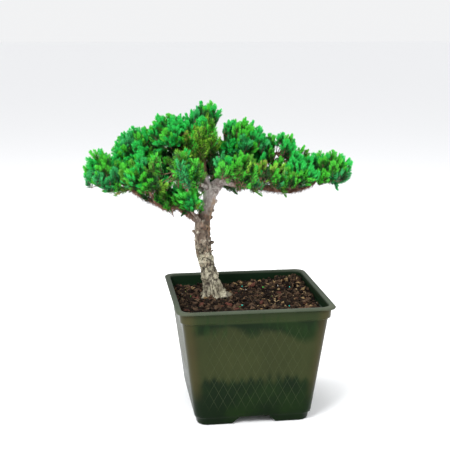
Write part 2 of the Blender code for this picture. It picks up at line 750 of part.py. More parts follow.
def recentre(pieces):
    """Hang everything on one empty, and move it so that the whole stands over the origin."""
    bpy.context.view_layer.update()
    corners = np.array([
        piece.matrix_world @ Vector(corner) for piece in pieces for corner in piece.bound_box
    ])
    middle = (corners.min(axis=0) + corners.max(axis=0)) / 2
    stand = bpy.data.objects.new("stand_point", None)
    PARTS.objects.link(stand)
    for piece in pieces:
        piece.parent = stand
    stand.location = (-middle[0], -middle[1], 0)
    bpy.context.view_layer.update()
    print("pot middle now at", [round(value, 6) for value in stand.location])


def main():
    clear_scene()
    bark = plain_material("bark", (0.235, 0.185, 0.135), 0.9)
    twig_bark = plain_material("twig_bark", (0.150, 0.085, 0.060), 0.85)
    green = plain_material("juniper_green", (0.020, 0.230, 0.065), 0.6)
    pieces = [make_pot(), make_soil()]
    lines = {"trunk": smooth_line(TRUNK_STATIONS, 2)}
    pieces.append(make_trunk(lines["trunk"], bark))
    waiting = sorted((mass for mass in MASSES if mass.along is not None), key=lambda mass: -mass.root)
    while waiting:
        mass = next(mass for mass in waiting if mass.limb in lines)
        waiting.remove(mass)
        lines[mass.name] = bough_line(mass, lines)
        pieces.append(make_bough(mass, lines, twig_bark))
    rods = [rod for line in lines.values() for rod in rods_of(line)]
    for mass in MASSES:
        line = lines.get(mass.name, lines["trunk"])
        foliage, own = make_mass(mass, line, rods, green)
        rods += own
        pieces.append(foliage)
    recentre(pieces)
    counts = {piece.name: sum(len(face.vertices) - 2 for face in piece.data.polygons) for piece in pieces}
    print(counts, "triangles in all:", sum(counts.values()))


main()
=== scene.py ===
# %% [markdown]
# # A garden juniper bonsai in its nursery pot
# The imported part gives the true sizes: a square pot, soil, a bent trunk, boughs and
# twenty plain masses of foliage. This lesson dresses that frame. The pot keeps its shape
# and gets soft corners, a rolled lip and dust; the soil gets clods and loose bark; the
# wood gets bark relief; and every mass grows again as thousands of needles.
# The frame is loaded first, so that each piece can be placed where the part says.

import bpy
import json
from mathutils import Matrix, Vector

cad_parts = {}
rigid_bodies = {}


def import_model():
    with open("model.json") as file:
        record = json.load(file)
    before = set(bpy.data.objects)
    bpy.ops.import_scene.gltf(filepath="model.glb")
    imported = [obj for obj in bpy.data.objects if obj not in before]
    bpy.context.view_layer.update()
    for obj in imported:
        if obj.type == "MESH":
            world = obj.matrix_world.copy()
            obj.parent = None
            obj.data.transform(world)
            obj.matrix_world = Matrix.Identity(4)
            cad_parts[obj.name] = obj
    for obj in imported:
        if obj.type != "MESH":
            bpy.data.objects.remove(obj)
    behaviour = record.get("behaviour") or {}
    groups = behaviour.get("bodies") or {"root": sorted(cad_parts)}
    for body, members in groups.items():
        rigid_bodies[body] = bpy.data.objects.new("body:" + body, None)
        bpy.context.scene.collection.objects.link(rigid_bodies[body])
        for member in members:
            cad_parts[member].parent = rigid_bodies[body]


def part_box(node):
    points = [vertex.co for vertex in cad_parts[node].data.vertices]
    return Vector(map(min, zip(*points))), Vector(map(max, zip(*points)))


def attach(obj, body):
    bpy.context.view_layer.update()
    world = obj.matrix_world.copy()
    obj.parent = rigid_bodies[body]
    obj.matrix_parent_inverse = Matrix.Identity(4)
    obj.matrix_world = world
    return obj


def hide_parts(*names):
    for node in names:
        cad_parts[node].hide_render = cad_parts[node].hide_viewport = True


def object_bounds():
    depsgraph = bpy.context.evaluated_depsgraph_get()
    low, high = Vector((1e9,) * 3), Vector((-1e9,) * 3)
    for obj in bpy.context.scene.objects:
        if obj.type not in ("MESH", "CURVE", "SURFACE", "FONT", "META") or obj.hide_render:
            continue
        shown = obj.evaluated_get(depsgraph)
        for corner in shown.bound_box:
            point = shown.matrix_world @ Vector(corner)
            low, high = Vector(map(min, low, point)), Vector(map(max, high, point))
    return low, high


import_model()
cad_low, cad_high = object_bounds()
print("part box:", [round(v, 4) for v in (*cad_low, *cad_high)])

# %% [markdown]
# ## The working frame
# The plant was measured from the middle of the pot's foot, in millimetres. The pot's
# own box says where that point lies in the part, so every table below stays in
# millimetres and one function turns it into the part's metres.

# %% Millimetres from the pot's foot
import json
import math
from collections import namedtuple

import bmesh
import bpy
import numpy as np
from mathutils import Matrix, Vector, noise
from mathutils.bvhtree import BVHTree

MM = 0.001
NOISE_SEED = 5
noise.seed_set(NOISE_SEED)
pot_low, pot_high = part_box("pot")
POT_MIDDLE = np.array([(pot_low.x + pot_high.x) / 2, (pot_low.y + pot_high.y) / 2, pot_low.z])


def placed(points):
    """Points in millimetres from the pot's foot, as metres in the part."""
    return np.asarray(points, float) * MM + POT_MIDDLE


def linked(name, data):
    """Put the data of a mesh, a lamp or a camera in the scene as one object."""
    piece = bpy.data.objects.new(name, data)
    bpy.context.scene.collection.objects.link(piece)
    return piece


print("pot middle:", np.round(POT_MIDDLE, 5))

# %% [markdown]
# ## Camera
# The four corners of the pot's rim and foot fix the viewpoint: the eye stands 0.85 m in
# front, a little to the left and above, and looks down by about 12 degrees. The lens is
# a short telephoto. The camera comes first, because every later choice is judged by it.

# %% Make the camera
EYE = (-138.6, -845.5, 348.9)
TURN_RIGHT = 8.042
LOOK_DOWN = 11.75
LENS = 76.74
SENSOR = 36.0

camera_data = bpy.data.cameras.new("camera")
camera_data.lens = LENS
camera_data.sensor_width = SENSOR
camera = linked("camera", camera_data)
camera.location = placed(EYE)
camera.rotation_euler = (math.radians(90 - LOOK_DOWN), 0, math.radians(-TURN_RIGHT))
bpy.context.scene.camera = camera
print("camera at", [round(v, 3) for v in camera.location])

# %% [markdown]
# ## Floor and light
# A plant with a dark pot is lit best by a large soft source: a broad window-like panel
# at the front left, a weaker one on the right, and a pale sky all round. The floor is
# plain and pale. The Standard view keeps the greens as they were chosen.

# %% Floor, sky and soft panels
SKY = (0.985, 0.99, 1.0, 1.0)
SKY_STRENGTH = 0.90
PANELS = (
    ("window_panel", (-620, -760, 900), 460, 14.0),
    ("fill_panel", (820, -520, 520), 520, 3.0),
    ("top_panel", (-160, 60, 1050), 520, 9.0),
)
AIM = (-25, 10, 150)

bpy.context.scene.view_settings.view_transform = "Standard"
world = bpy.data.worlds.new("pale_sky")
world.use_nodes = True
background = world.node_tree.nodes["Background"].inputs
background["Color"].default_value = SKY
background["Strength"].default_value = SKY_STRENGTH
bpy.context.scene.world = world

for name, place, size, power in PANELS:
    panel = bpy.data.lights.new(name, "AREA")
    panel.size = size * MM
    panel.energy = power
    lamp = linked(name, panel)
    lamp.location = placed(place)
    lamp.rotation_euler = Vector(placed(AIM) - placed(place)).to_track_quat("-Z", "Y").to_euler()
print("light panels:", len(PANELS))


def new_piece(name, points, faces, smooth=True):
    """An object from an array of points and one of faces with equally many corners."""
    points = np.ascontiguousarray(points, np.float32)
    faces = np.ascontiguousarray(faces, np.int32)
    mesh = bpy.data.meshes.new(name)
    mesh.vertices.add(len(points))
    mesh.vertices.foreach_set("co", points.ravel())
    mesh.loops.add(faces.size)
    mesh.loops.foreach_set("vertex_index", faces.ravel())
    mesh.polygons.add(len(faces))
    mesh.polygons.foreach_set("loop_start", np.arange(0, faces.size, faces.shape[1], dtype=np.int32))
    mesh.polygons.foreach_set("use_smooth", np.full(len(faces), smooth))
    mesh.update(calc_edges=True)
    return linked(name, mesh)


FLOOR_HALF = 20.0
FLOOR_DROP = 0.0001
corners = [(x * FLOOR_HALF, y * FLOOR_HALF, 0) for x, y in ((-1, -1), (1, -1), (1, 1), (-1, 1))]
floor = new_piece("floor", corners, [(0, 1, 2, 3)], smooth=False)
floor.location.z = cad_low.z - FLOOR_DROP

# %% [markdown]
# ## A short way to write finishes
# Each finish below is a small graph of shader nodes. Writing it node by node hides the
# idea, so a class wraps one socket: sums written with it add Math nodes, and one method
# adds any other node. Colours go through Mix nodes, which keep their hue.

# %% Finishes written as sums
def math_node(operation, turned=False):
    """A method that adds one Math node for two terms; turned puts the other term first."""
    def method(self, other):
        return self.math(operation, *((other, self) if turned else (self, other)))
    return method


class Wire:
    """One value on its way through a finish; sums written with it become Math nodes."""

    def __init__(self, finish, socket):
        self.finish = finish
        self.socket = socket

    def math(self, operation, *terms):
        """One Math node, with the terms on its sockets."""
        return self.finish.add("ShaderNodeMath", {"operation": operation}, dict(enumerate(terms)))

    __add__, __radd__ = math_node("ADD"), math_node("ADD", True)
    __sub__, __rsub__ = math_node("SUBTRACT"), math_node("SUBTRACT", True)
    __mul__, __rmul__ = math_node("MULTIPLY"), math_node("MULTIPLY", True)
    __truediv__ = math_node("DIVIDE")
    least, most = math_node("MINIMUM"), math_node("MAXIMUM")

    def __abs__(self):
        return self.math("ABSOLUTE", self)

    def from_half(self):
        """0 halfway between two whole numbers and 0.5 at each, for lines at even steps."""
        return abs(self.math("FRACT", self) - 0.5)

    def band(self, low, high):
        """0 below low, 1 above high, and smooth in between."""
        return self.finish.add(
            "ShaderNodeMapRange", {"interpolation_type": "SMOOTHSTEP"},
            {"Value": self, "From Min": low, "From Max": high})


class Finish:
    """A material under construction: its node tree and its one Principled shader."""

    def __init__(self, name):
        self.material = bpy.data.materials.new(name)
        self.material.use_nodes = True
        self.tree = self.material.node_tree
        self.shader = self.tree.nodes["Principled BSDF"]

    def add(self, kind, settings=None, inputs=None, output=0):
        """Add a node: its settings first, then the values or links of its sockets."""
        node = self.tree.nodes.new(kind)
        for key, value in (settings or {}).items():
            setattr(node, key, value)
        for key, value in (inputs or {}).items():
            self.feed(node.inputs[key], value)
        return Wire(self, node.outputs[output])

    def feed(self, socket, value):
        """Set a socket, or link it where the value is a wire."""
        if isinstance(value, Wire):
            self.tree.links.new(value.socket, socket)
        elif isinstance(value, tuple) and len(value) == 3 and socket.type == "RGBA":
            socket.default_value = (*value, 1.0)
        else:
            socket.default_value = value

    def place(self):
        """Where a point lies on the piece, in metres."""
        return self.add("ShaderNodeTexCoord", output="Object")

    def axes(self, vector):
        """The three parts of a vector, each as a wire."""
        first = self.add("ShaderNodeSeparateXYZ", {}, {0: vector})
        return [Wire(self, output) for output in first.socket.node.outputs]

    def facing(self):
        """Which way the surface faces, as three wires."""
        return self.axes(self.add("ShaderNodeNewGeometry", output="Normal"))

    def kept(self, name):
        """A number that the mesh keeps for each point."""
        return self.add("ShaderNodeAttribute", {"attribute_name": name}, output="Fac")

    def scaled(self, vector, x, y, z):
        """A vector stretched by three numbers."""
        return self.add("ShaderNodeVectorMath", {"operation": "MULTIPLY"}, {0: vector, 1: (x, y, z)})

    def grain(self, vector, scale, detail=3.0):
        """Cloudy noise from 0 to 1."""
        return self.add("ShaderNodeTexNoise", {}, {"Vector": vector, "Scale": scale, "Detail": detail})

    def blend(self, mask, below, above):
        """One colour where the mask is 0 and another where it is 1."""
        return self.add("ShaderNodeMix", {"data_type": "RGBA"}, {0: mask, 6: below, 7: above}, output=2)

    def coats(self, colour, *coats):
        """A colour under coats of (mask, colour), each laid over all that is below it."""
        for mask, above in coats:
            colour = self.blend(mask, colour, above)
        return colour

    def bump(self, height, distance, strength=1.0):
        """Small relief that only turns the surface's normal."""
        return self.add("ShaderNodeBump", {}, {"Height": height, "Distance": distance, "Strength": strength})

    def paint(self, shine=0.5, **looks):
        """Set the mirror level and other sockets, named in lower case with underscores."""
        self.shader.inputs["Specular IOR Level"].default_value = shine
        for key, value in looks.items():
            self.feed(self.shader.inputs[key.replace("_", " ").title()], value)
        return self.material


floor_finish = Finish("pale_floor")
floor.data.materials.append(floor_finish.paint(base_color=(0.970, 0.975, 0.985), roughness=0.95))


def dress(piece, material):
    """Give a piece its finish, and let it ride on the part."""
    piece.data.materials.append(material)
    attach(piece, "root")
    print(piece.name, len(piece.data.polygons), "faces")
    return piece


# %% [markdown]
# ## Pot
# The real pot is one thin moulding of dark green plastic: a rolled lip, a collar whose
# lower step shows only near the corners, four tapering walls and four short feet. A
# loft through rounded squares gives all of that in one skin, down the outside and up
# the inside; a Boolean then cuts the two channels between the feet and the drain holes.

# %% Loft the pot
RIM = 140.0
POT_TALL = 109.8
FOOT_WIDE = 101.2
FOOT_TALL = 7.0
FOOT_EDGE = 1.2
BODY_FOOT = 105.8
BODY_TOP = 129.2
LIP_THICK = 2.4
COLLAR_TALL = 9.0
COLLAR_STEP = 1.7
WALL = 1.3
FLOOR_TOP = 8.6
CORNER = 9.5
CORNER_STEPS = 12
SIDE_STEPS = 28
STEP_STARTS = 0.30
STEP_RUN = 0.45
LIP_FOOT = POT_TALL - LIP_THICK
COLLAR_FOOT = LIP_FOOT - COLLAR_TALL


def rounded_square(width, height, proud=0.0):
    """Points round a rounded square; proud pushes them out towards the corners only."""
    middle = width / 2 - CORNER
    points = []
    for quarter, (side_x, side_y) in enumerate(((1, 1), (-1, 1), (-1, -1), (1, -1))):
        for step in range(CORNER_STEPS + 1):
            angle = (quarter + step / CORNER_STEPS) * math.pi / 2
            points.append((side_x * middle + CORNER * math.cos(angle),
                           side_y * middle + CORNER * math.sin(angle)))
        ahead = np.array([-math.sin((quarter + 1) * math.pi / 2), math.cos((quarter + 1) * math.pi / 2)])
        start = np.array(points[-1])
        points += [tuple(start + ahead * 2 * middle * step / SIDE_STEPS) for step in range(1, SIDE_STEPS)]
    points = np.array(points)
    near_corner = np.clip((np.abs(points).min(axis=1) / (width / 2) - STEP_STARTS) / STEP_RUN, 0, 1)
    near_corner = near_corner ** 2 * (3 - 2 * near_corner)
    points *= (1 + proud * near_corner / (width / 2))[:, None]
    return np.column_stack([points, np.full(len(points), height)])


def arc(middle, height, radius, first, last, steps=6):
    """Half widths and heights along a rounded edge."""
    turns = np.radians(np.linspace(first, last, steps))
    return [(2 * (middle + radius * math.cos(turn)), height + radius * math.sin(turn), 0.0) for turn in turns]


def wall_rows(width, height, shares):
    """Widths and heights up a wall that leans outwards, from those at its foot."""
    return [(width + (BODY_TOP - BODY_FOOT) * share, height + (COLLAR_FOOT - height) * share, 0.0)
            for share in shares]


def pot_profile():
    """(width, height, proud) up the outside from the foot to the lip, and back down inside."""
    lip = LIP_THICK / 2
    rows = arc(FOOT_WIDE / 2 - FOOT_EDGE, FOOT_EDGE, FOOT_EDGE, -90, 0, 5)
    rows += [(FOOT_WIDE + 1.6, FOOT_TALL - 1.0, 0.0), (FOOT_WIDE + 2.4, FOOT_TALL - 0.2, 0.0)]
    rows += [(BODY_FOOT - 0.8, FOOT_TALL + 0.1, 0.0), (BODY_FOOT, FOOT_TALL + 0.7, 0.0)]
    rows += wall_rows(BODY_FOOT, FOOT_TALL, np.linspace(0.04, 0.96, 16))
    for wider, height, step in (
            (-0.1, COLLAR_FOOT - 0.5, 0.0), (0.0, COLLAR_FOOT, 0.35), (0.3, COLLAR_FOOT + 0.5, 0.9),
            (0.4, COLLAR_FOOT + 1.0, 1.0), (1.6, LIP_FOOT - 1.2, 0.9), (2.6, LIP_FOOT - 0.3, 0.6),
            (4.6, LIP_FOOT, 0.0)):
        rows.append((BODY_TOP + wider, height, COLLAR_STEP * step))
    rows += arc(RIM / 2 - lip, LIP_FOOT + lip, lip, -80, 90, 8)
    inner_top = BODY_TOP - 2 * WALL + 2 * COLLAR_STEP
    rows += arc(inner_top / 2 + 1.0, POT_TALL - 1.0, 1.0, 90, 180, 5)
    rows += [(inner_top, COLLAR_FOOT + 1.2, 0.0), (BODY_TOP - 2 * WALL, COLLAR_FOOT + 0.2, 0.0)]
    return rows + wall_rows(BODY_FOOT - 2 * WALL, FLOOR_TOP, (0.75, 0.5, 0.25, 0.0))


def quads_between(index):
    """The faces between rings, from a table with a row of point numbers for each ring."""
    low, high = index[:-1], index[1:]
    return np.stack([low, np.roll(low, -1, 1), np.roll(high, -1, 1), high], axis=-1).reshape(-1, 4)


def loft(name, rings):
    """A skin through rings of equally many points, closed at both ends."""
    index = np.arange(len(rings) * len(rings[0])).reshape(len(rings), -1)
    piece = new_piece(name, placed(np.concatenate(rings)), quads_between(index))
    shape = bmesh.new()
    shape.from_mesh(piece.data)
    shape.verts.ensure_lookup_table()
    shape.faces.new([shape.verts[i] for i in index[0]][::-1])
    shape.faces.new([shape.verts[i] for i in index[-1]])
    bmesh.ops.recalc_face_normals(shape, faces=shape.faces)
    shape.to_mesh(piece.data)
    shape.free()
    return piece


pot = loft("pot_moulding", [rounded_square(*row) for row in pot_profile()])
print("pot skin:", len(pot.data.polygons), "faces")

# %% [markdown]
# The channels are prisms that narrow upwards and run right through; the drain holes are
# short cylinders. All of them go into one collection, so one Boolean cuts them.

# %% Cut the channels and the drain holes
CHANNEL_MOUTH = 40.0
CHANNEL_ROOF = 26.0
BELOW_FOOT = 2.0
DRAIN_SPACING = 26.0
DRAIN_RADIUS = 4.2
SHARP_ANGLE = 32

cutters = bpy.data.collections.new("pot_cutters")
bpy.context.scene.collection.children.link(cutters)
mouth = CHANNEL_MOUTH / 2 + BELOW_FOOT * (CHANNEL_MOUTH - CHANNEL_ROOF) / 2 / FOOT_TALL
roof = CHANNEL_ROOF / 2
section = [(-mouth, -BELOW_FOOT), (mouth, -BELOW_FOOT), (roof, FOOT_TALL), (-roof, FOOT_TALL)]
for turned in (False, True):
    rings = [[(-y, x, z) if turned else (x, y, z) for x, z in section] for y in (-RIM, RIM)]
    cutters.objects.link(loft("channel", rings))
for x, y in ((0, 0), (1, 0), (-1, 0), (0, 1), (0, -1)):
    hole = bmesh.new()
    bmesh.ops.create_cone(hole, cap_ends=True, segments=24, radius1=DRAIN_RADIUS * MM,
                          radius2=DRAIN_RADIUS * MM, depth=FLOOR_TOP * MM)
    mesh = bpy.data.meshes.new("drain")
    hole.to_mesh(mesh)
    hole.free()
    mesh.transform(Matrix.Translation(placed((x * DRAIN_SPACING, y * DRAIN_SPACING, FLOOR_TOP))))
    cutters.objects.link(linked("drain", mesh))

cut = pot.modifiers.new("cut", "BOOLEAN")
cut.operand_type = "COLLECTION"
cut.collection = cutters
cut.operation = "DIFFERENCE"
bpy.context.view_layer.update()
cut_mesh = bpy.data.meshes.new_from_object(pot.evaluated_get(bpy.context.evaluated_depsgraph_get()))
pot.modifiers.clear()
pot.data = cut_mesh
for helper in list(cutters.objects):
    bpy.data.objects.remove(helper, do_unlink=True)
pot.data.set_sharp_from_angle(angle=math.radians(SHARP_ANGLE))
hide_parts("pot")
print("pot after cutting:", len(pot.data.polygons), "faces")

# %% [markdown]
# The plastic is dark green and half glossy. A pale haze with a toothed lower edge over
# the upper part of the walls is a painted reflection of the room; dust and lime dull the
# lip, darker drips run down, and the lower part stays dark and clean; near the upright
# corners it is worn to a brownish tone. A faint lattice of raised lines crosses each
# wall, which a bump can show, because the lines are only a tenth of a millimetre high.
# The inner wall has no painted reflection and no drips: its normal, which points to the middle, tells it from
# the outer one.

# %% Paint the plastic
LATTICE_STEP = 0.0073
LATTICE_STEEP = math.radians(63)
TOOTH_STEP = 0.0082

plastic = Finish("dark_green_plastic")
here = plastic.place()
x, y, z = plastic.axes(here)
x = x - float(POT_MIDDLE[0])
y = y - float(POT_MIDDLE[1])
face_x, face_y, face_z = plastic.facing()
on_side = (abs(face_x) - abs(face_y)).band(-0.02, 0.02)
along = x * (1 - on_side) + y * on_side
wall_half = z * 0.11 + 0.0515

rising, falling = [
    ((along * math.sin(LATTICE_STEEP) + z * (lean * math.cos(LATTICE_STEEP))) / LATTICE_STEP)
    .from_half().band(0.462, 0.494) for lean in (-1, 1)]
field = (1 - abs(along).band(0.034, 0.050)) * z.band(0.010, 0.024) * (1 - z.band(0.086, 0.096))
lattice = falling.most(rising) * field * (1 - abs(face_z).band(0.35, 0.6))

cloud = plastic.grain(here, 26.0, 4.0)
streak = plastic.grain(plastic.scaled(here, 1.0, 1.0, 0.22), 160.0, 3.0)
speck = plastic.grain(here, 900.0, 2.0)
drips = plastic.grain(plastic.scaled(here, 1.0, 1.0, 0.12), 240.0, 2.0).band(0.50, 0.66)
# A painted reflection of the room: a pale band over the upper walls, with a toothed, ragged lower edge, fading
# near the corners.
teeth = (along / TOOTH_STEP).from_half() * 0.011
ragged = cloud * 0.030 - 0.015
reflection_band = (z + teeth + ragged).band(0.041, 0.051) * (1 - (z + ragged * 1.5).band(0.081, 0.092))
reflection_band = reflection_band * (1 - (abs(along) / wall_half).band(0.78, 0.99) * 0.8)
painted_reflection = (reflection_band * (0.62 + cloud * 0.50) * (0.85 + streak * 0.28)).least(1.0)
collar = z.band(0.0962, 0.0985)
top_face = z.band(0.1076, 0.1084)
corner = (abs(x).least(abs(y)) / wall_half).band(0.80, 0.97) * (z + ragged).band(0.014, 0.045)
inside_wall = 1 - (face_x * x + face_y * y).band(-0.030, -0.010)
dusty_lip = top_face * (0.45 + cloud * 0.70)
green = plastic.coats(
    plastic.blend(cloud.band(0.40, 0.66), (0.0008, 0.0070, 0.0002), (0.0040, 0.0150, 0.0008)),
    # The painted reflection, pale grey-green.
    (painted_reflection * 0.95, (0.0255, 0.0305, 0.0085)),
    (collar * 0.66, (0.0225, 0.0330, 0.0095)),
    (drips * z.band(0.080, 0.092) * (1 - top_face) * 0.5, (0.0060, 0.0230, 0.0030)),
    (corner * 0.48, (0.060, 0.044, 0.016)),
    (lattice * 0.36, (0.060, 0.080, 0.032)),
    (inside_wall, (0.0060, 0.0165, 0.0070)),
    (dusty_lip.least(1.0) * 0.9, (0.058, 0.070, 0.050)),
)
roughness = 0.34 + painted_reflection * 0.10 + dusty_lip * 0.22
relief = plastic.bump(lattice + speck * 0.05 + cloud * 0.25, 0.0003, 0.6)
dress(pot, plastic.paint(shine=0.09, base_color=green, roughness=roughness, normal=relief))

# %% [markdown]
# ## The limbs' lines
# Trunk and boughs follow the same rule as the part: a smooth curve through a few
# stations, and each short bough a sagging curve from its carrier to where it enters
# its mass. Writing the rule again here lets finer wood grow on the same lines.

# %% Stations, masses and lines
TRUNK = (
    (-27.0, 20.0, 95.0, 9.8), (-28.7, 20.0, 109.0, 8.4), (-33.2, 20.6, 128.5, 7.1),
    (-36.4, 21.3, 148.0, 7.1), (-37.5, 21.5, 167.0, 7.3), (-35.1, 21.3, 176.4, 6.0),
    (-31.2, 21.1, 190.5, 6.0), (-30.6, 21.0, 200.5, 5.9), (-34.2, 20.9, 208.5, 2.9),
    (-35.3, 21.0, 223.0, 2.0), (-33.8, 21.0, 251.0, 1.3),
)
RIGHT_WAY = (
    (-19.0, 21.0, 208.5), (-7.0, 20.0, 206.0), (13.0, 18.0, 203.2),
    (36.5, 16.0, 199.8), (47.0, 15.8, 199.6), (59.0, 15.0, 202.2),
)
LEFT_WAY = (
    (-52.0, 18.5, 180.0), (-61.2, 16.0, 186.8), (-72.5, 14.0, 186.2),
    (-80.0, 13.0, 190.8), (-96.0, 13.0, 199.0), (-106.0, 13.8, 207.0),
)
Mass = namedtuple("Mass", "name middle half limb along root tip")
MASSES = [Mass(name, np.array(middle), np.array(half), *bough) for name, middle, half, *bough in (
    ("apex", (-33.5, 21.0, 265.0), (16.5, 17.5, 17.0), "trunk", None, None, None),
    ("left_crest", (-64.0, 17.0, 255.0), (24.0, 23.0, 18.0), "trunk", 0.700, 2.7, 1.2),
    ("left_shoulder", (-96.0, 26.0, 241.0), (21.0, 24.0, 18.0), "left_crest", 0.420, 1.9, 1.1),
    ("far_left", (-123.0, 15.0, 218.0), (22.5, 24.0, 19.5), "trunk", 0.478, 3.2, 1.4),
    ("left_low", (-92.0, -12.0, 221.0), (23.0, 24.5, 18.0), "far_left", 0.580, 1.9, 1.1),
    ("left_inner", (-71.0, 8.0, 202.0), (13.5, 12.5, 9.5), "far_left", 0.440, 1.3, 0.9),
    ("low_tuft", (-53.5, 1.0, 197.0), (14.0, 14.0, 17.5), "trunk", 0.455, 2.2, 1.2),
    ("front_left", (-64.0, -24.0, 231.0), (21.0, 22.0, 16.0), "trunk", 0.668, 2.2, 1.2),
    ("front_right", (-12.0, -26.0, 227.0), (21.0, 22.0, 15.0), "far_right", 0.100, 2.1, 1.1),
    ("right_crest", (-3.0, 19.0, 249.0), (21.5, 23.0, 18.0), "far_right", 0.240, 2.3, 1.2),
    ("right_low", (17.0, -8.0, 221.0), (20.0, 22.0, 15.0), "far_right", 0.330, 1.7, 1.0),
    ("right_shoulder", (33.0, 26.0, 236.0), (23.0, 24.0, 17.0), "far_right", 0.460, 1.8, 1.1),
    ("right_mid", (45.0, 3.0, 217.0), (22.0, 23.0, 17.5), "far_right", 0.640, 1.4, 1.0),
    ("far_right", (78.5, 15.0, 217.5), (27.5, 23.0, 18.0), "trunk", 0.655, 4.6, 1.5),
    ("back_left", (-86.0, 62.0, 227.0), (25.0, 26.0, 17.0), "trunk", 0.640, 2.6, 1.2),
    ("back_mid", (-37.0, 68.0, 240.0), (25.0, 27.0, 17.5), "trunk", 0.790, 1.7, 1.1),
    ("back_right", (14.0, 64.0, 230.0), (26.0, 26.0, 17.0), "trunk", 0.615, 2.8, 1.2),
    ("back_low", (52.0, 49.0, 216.0), (21.0, 21.0, 14.0), "far_right", 0.560, 1.5, 1.0),
    ("back_inner", (-59.0, 43.0, 220.0), (19.0, 18.0, 14.0), "back_left", 0.400, 1.5, 1.0),
    ("back_under", (1.0, 37.0, 204.0), (14.0, 14.0, 12.0), "far_right", 0.190, 1.6, 1.0),
)
]
LONG_WAYS = {"far_left": LEFT_WAY, "far_right": RIGHT_WAY}
UNDERSIDE = 0.75
HEART_DROP = 0.30
ENTRY = 0.88
SAG = 0.10
FOLLOW = 0.35
TAPER = 1.2
UP = np.array([0.0, 0.0, 1.0])


def unit(vector):
    """The same direction with length 1, for one vector or a row of them."""
    vector = np.asarray(vector, float)
    return vector / np.linalg.norm(vector, axis=-1, keepdims=True)


def travelled_along(line):
    """How far each row of a line lies from its start."""
    return np.concatenate([[0], np.cumsum(np.linalg.norm(np.diff(line[:, :3], axis=0), axis=1))])


def rows_at(line, spots):
    """A line's places and radii at some distances from its start."""
    travelled = travelled_along(line)
    return np.column_stack([np.interp(spots, travelled, line[:, column]) for column in range(4)])


def smooth_line(stations, steps):
    """A smooth curve through the stations (Catmull-Rom)."""
    rows = np.array(stations, float)
    padded = np.vstack([2 * rows[0] - rows[1], rows, 2 * rows[-1] - rows[-2]])
    line = []
    for p0, p1, p2, p3 in zip(padded, padded[1:], padded[2:], padded[3:]):
        for t in np.arange(steps) / steps:
            line.append(0.5 * (2 * p1 + (p2 - p0) * t + (2 * p0 - 5 * p1 + 4 * p2 - p3) * t ** 2
                               + (3 * p1 - p0 - 3 * p2 + p3) * t ** 3))
    return np.array(line + [rows[-1]])


def along_line(line, share):
    """The place and direction at a share of a limb's length."""
    travelled = travelled_along(line)
    spot = share * travelled[-1]
    index = min(int(np.searchsorted(travelled, spot)), len(line) - 2)
    return rows_at(line, [spot])[0, :3], unit(line[index + 1, :3] - line[index, :3])


def axes_of(mass):
    """A mass's own directions: outwards from the leader, across, and up."""
    out = mass.middle * (1, 1, 0) - TRUNK[-1][:3] * np.array([1, 1, 0])
    out = np.array([1.0, 0, 0]) if mass.along is None else unit(out)
    return np.array([out, (-out[1], out[0], 0), UP])


def depth_in(mass, points):
    """How deep points lie in a mass's space: 0 at its middle, 1 on its outline."""
    local = (points - mass.middle) @ axes_of(mass).T
    half = np.tile(mass.half, (len(local), 1))
    half[local[:, 2] < 0, 2] *= UNDERSIDE
    return np.linalg.norm(local / half, axis=1)


def heart_of(mass):
    """Where a mass's stem ends and its twigs start."""
    return mass.middle - UP * mass.half[2] * UNDERSIDE * HEART_DROP


def bough_line(mass, lines):
    """A bough's line and radii, from its carrier's middle to where it enters its mass."""
    start, along = along_line(lines[mass.limb], mass.along)
    heart = heart_of(mass)
    way = LONG_WAYS.get(mass.name)
    bend = np.array(way[-1]) if way else start + (heart - start) / 2 - UP * SAG * np.linalg.norm(heart - start)
    approach = bend + (heart - bend) * np.linspace(0, 1, 200)[:, None]
    entry = approach[int(np.argmax(depth_in(mass, approach) < ENTRY))]
    if way:
        points = smooth_line((tuple(start), *way, tuple(entry)), 8)
    else:
        length = np.linalg.norm(entry - start)
        leave = start + (FOLLOW * along + (1 - FOLLOW) * (entry - start) / length) * length * 0.33
        arrive = entry - unit(heart - bend) * length * 0.36
        t = np.linspace(0, 1, 24)[:, None]
        points = ((1 - t) ** 3 * start + 3 * (1 - t) ** 2 * t * leave
                  + 3 * (1 - t) * t ** 2 * arrive + t ** 3 * entry)
    radii = mass.tip + (mass.root - mass.tip) * (1 - np.linspace(0, 1, len(points))) ** TAPER
    return np.column_stack([points, radii])


lines = {"trunk": smooth_line(TRUNK, 8)}
waiting = sorted((mass for mass in MASSES if mass.along is not None), key=lambda mass: -mass.root)
while waiting:
    mass = next(mass for mass in waiting if mass.limb in lines)
    waiting.remove(mass)
    lines[mass.name] = bough_line(mass, lines)
print("limbs:", len(lines))

# %% [markdown]
# ## Bark
# Old juniper bark lifts in plates that are longer up the trunk than they are wide, with
# deep crevices between them; higher up it turns smooth and pinkish, and the youngest
# wood is red-brown. A tube with hundreds of rings is pushed in and out by cell noise,
# and each point keeps how deep it lies, so the finish can paint shade into the crevices.

# %% Rings round a line
def even_line(line, step):
    """The same line with evenly spaced rows, and how far each lies from its start."""
    length = travelled_along(line)[-1]
    spots = np.linspace(0, length, max(4, int(length / step)))
    return rows_at(line, spots), spots


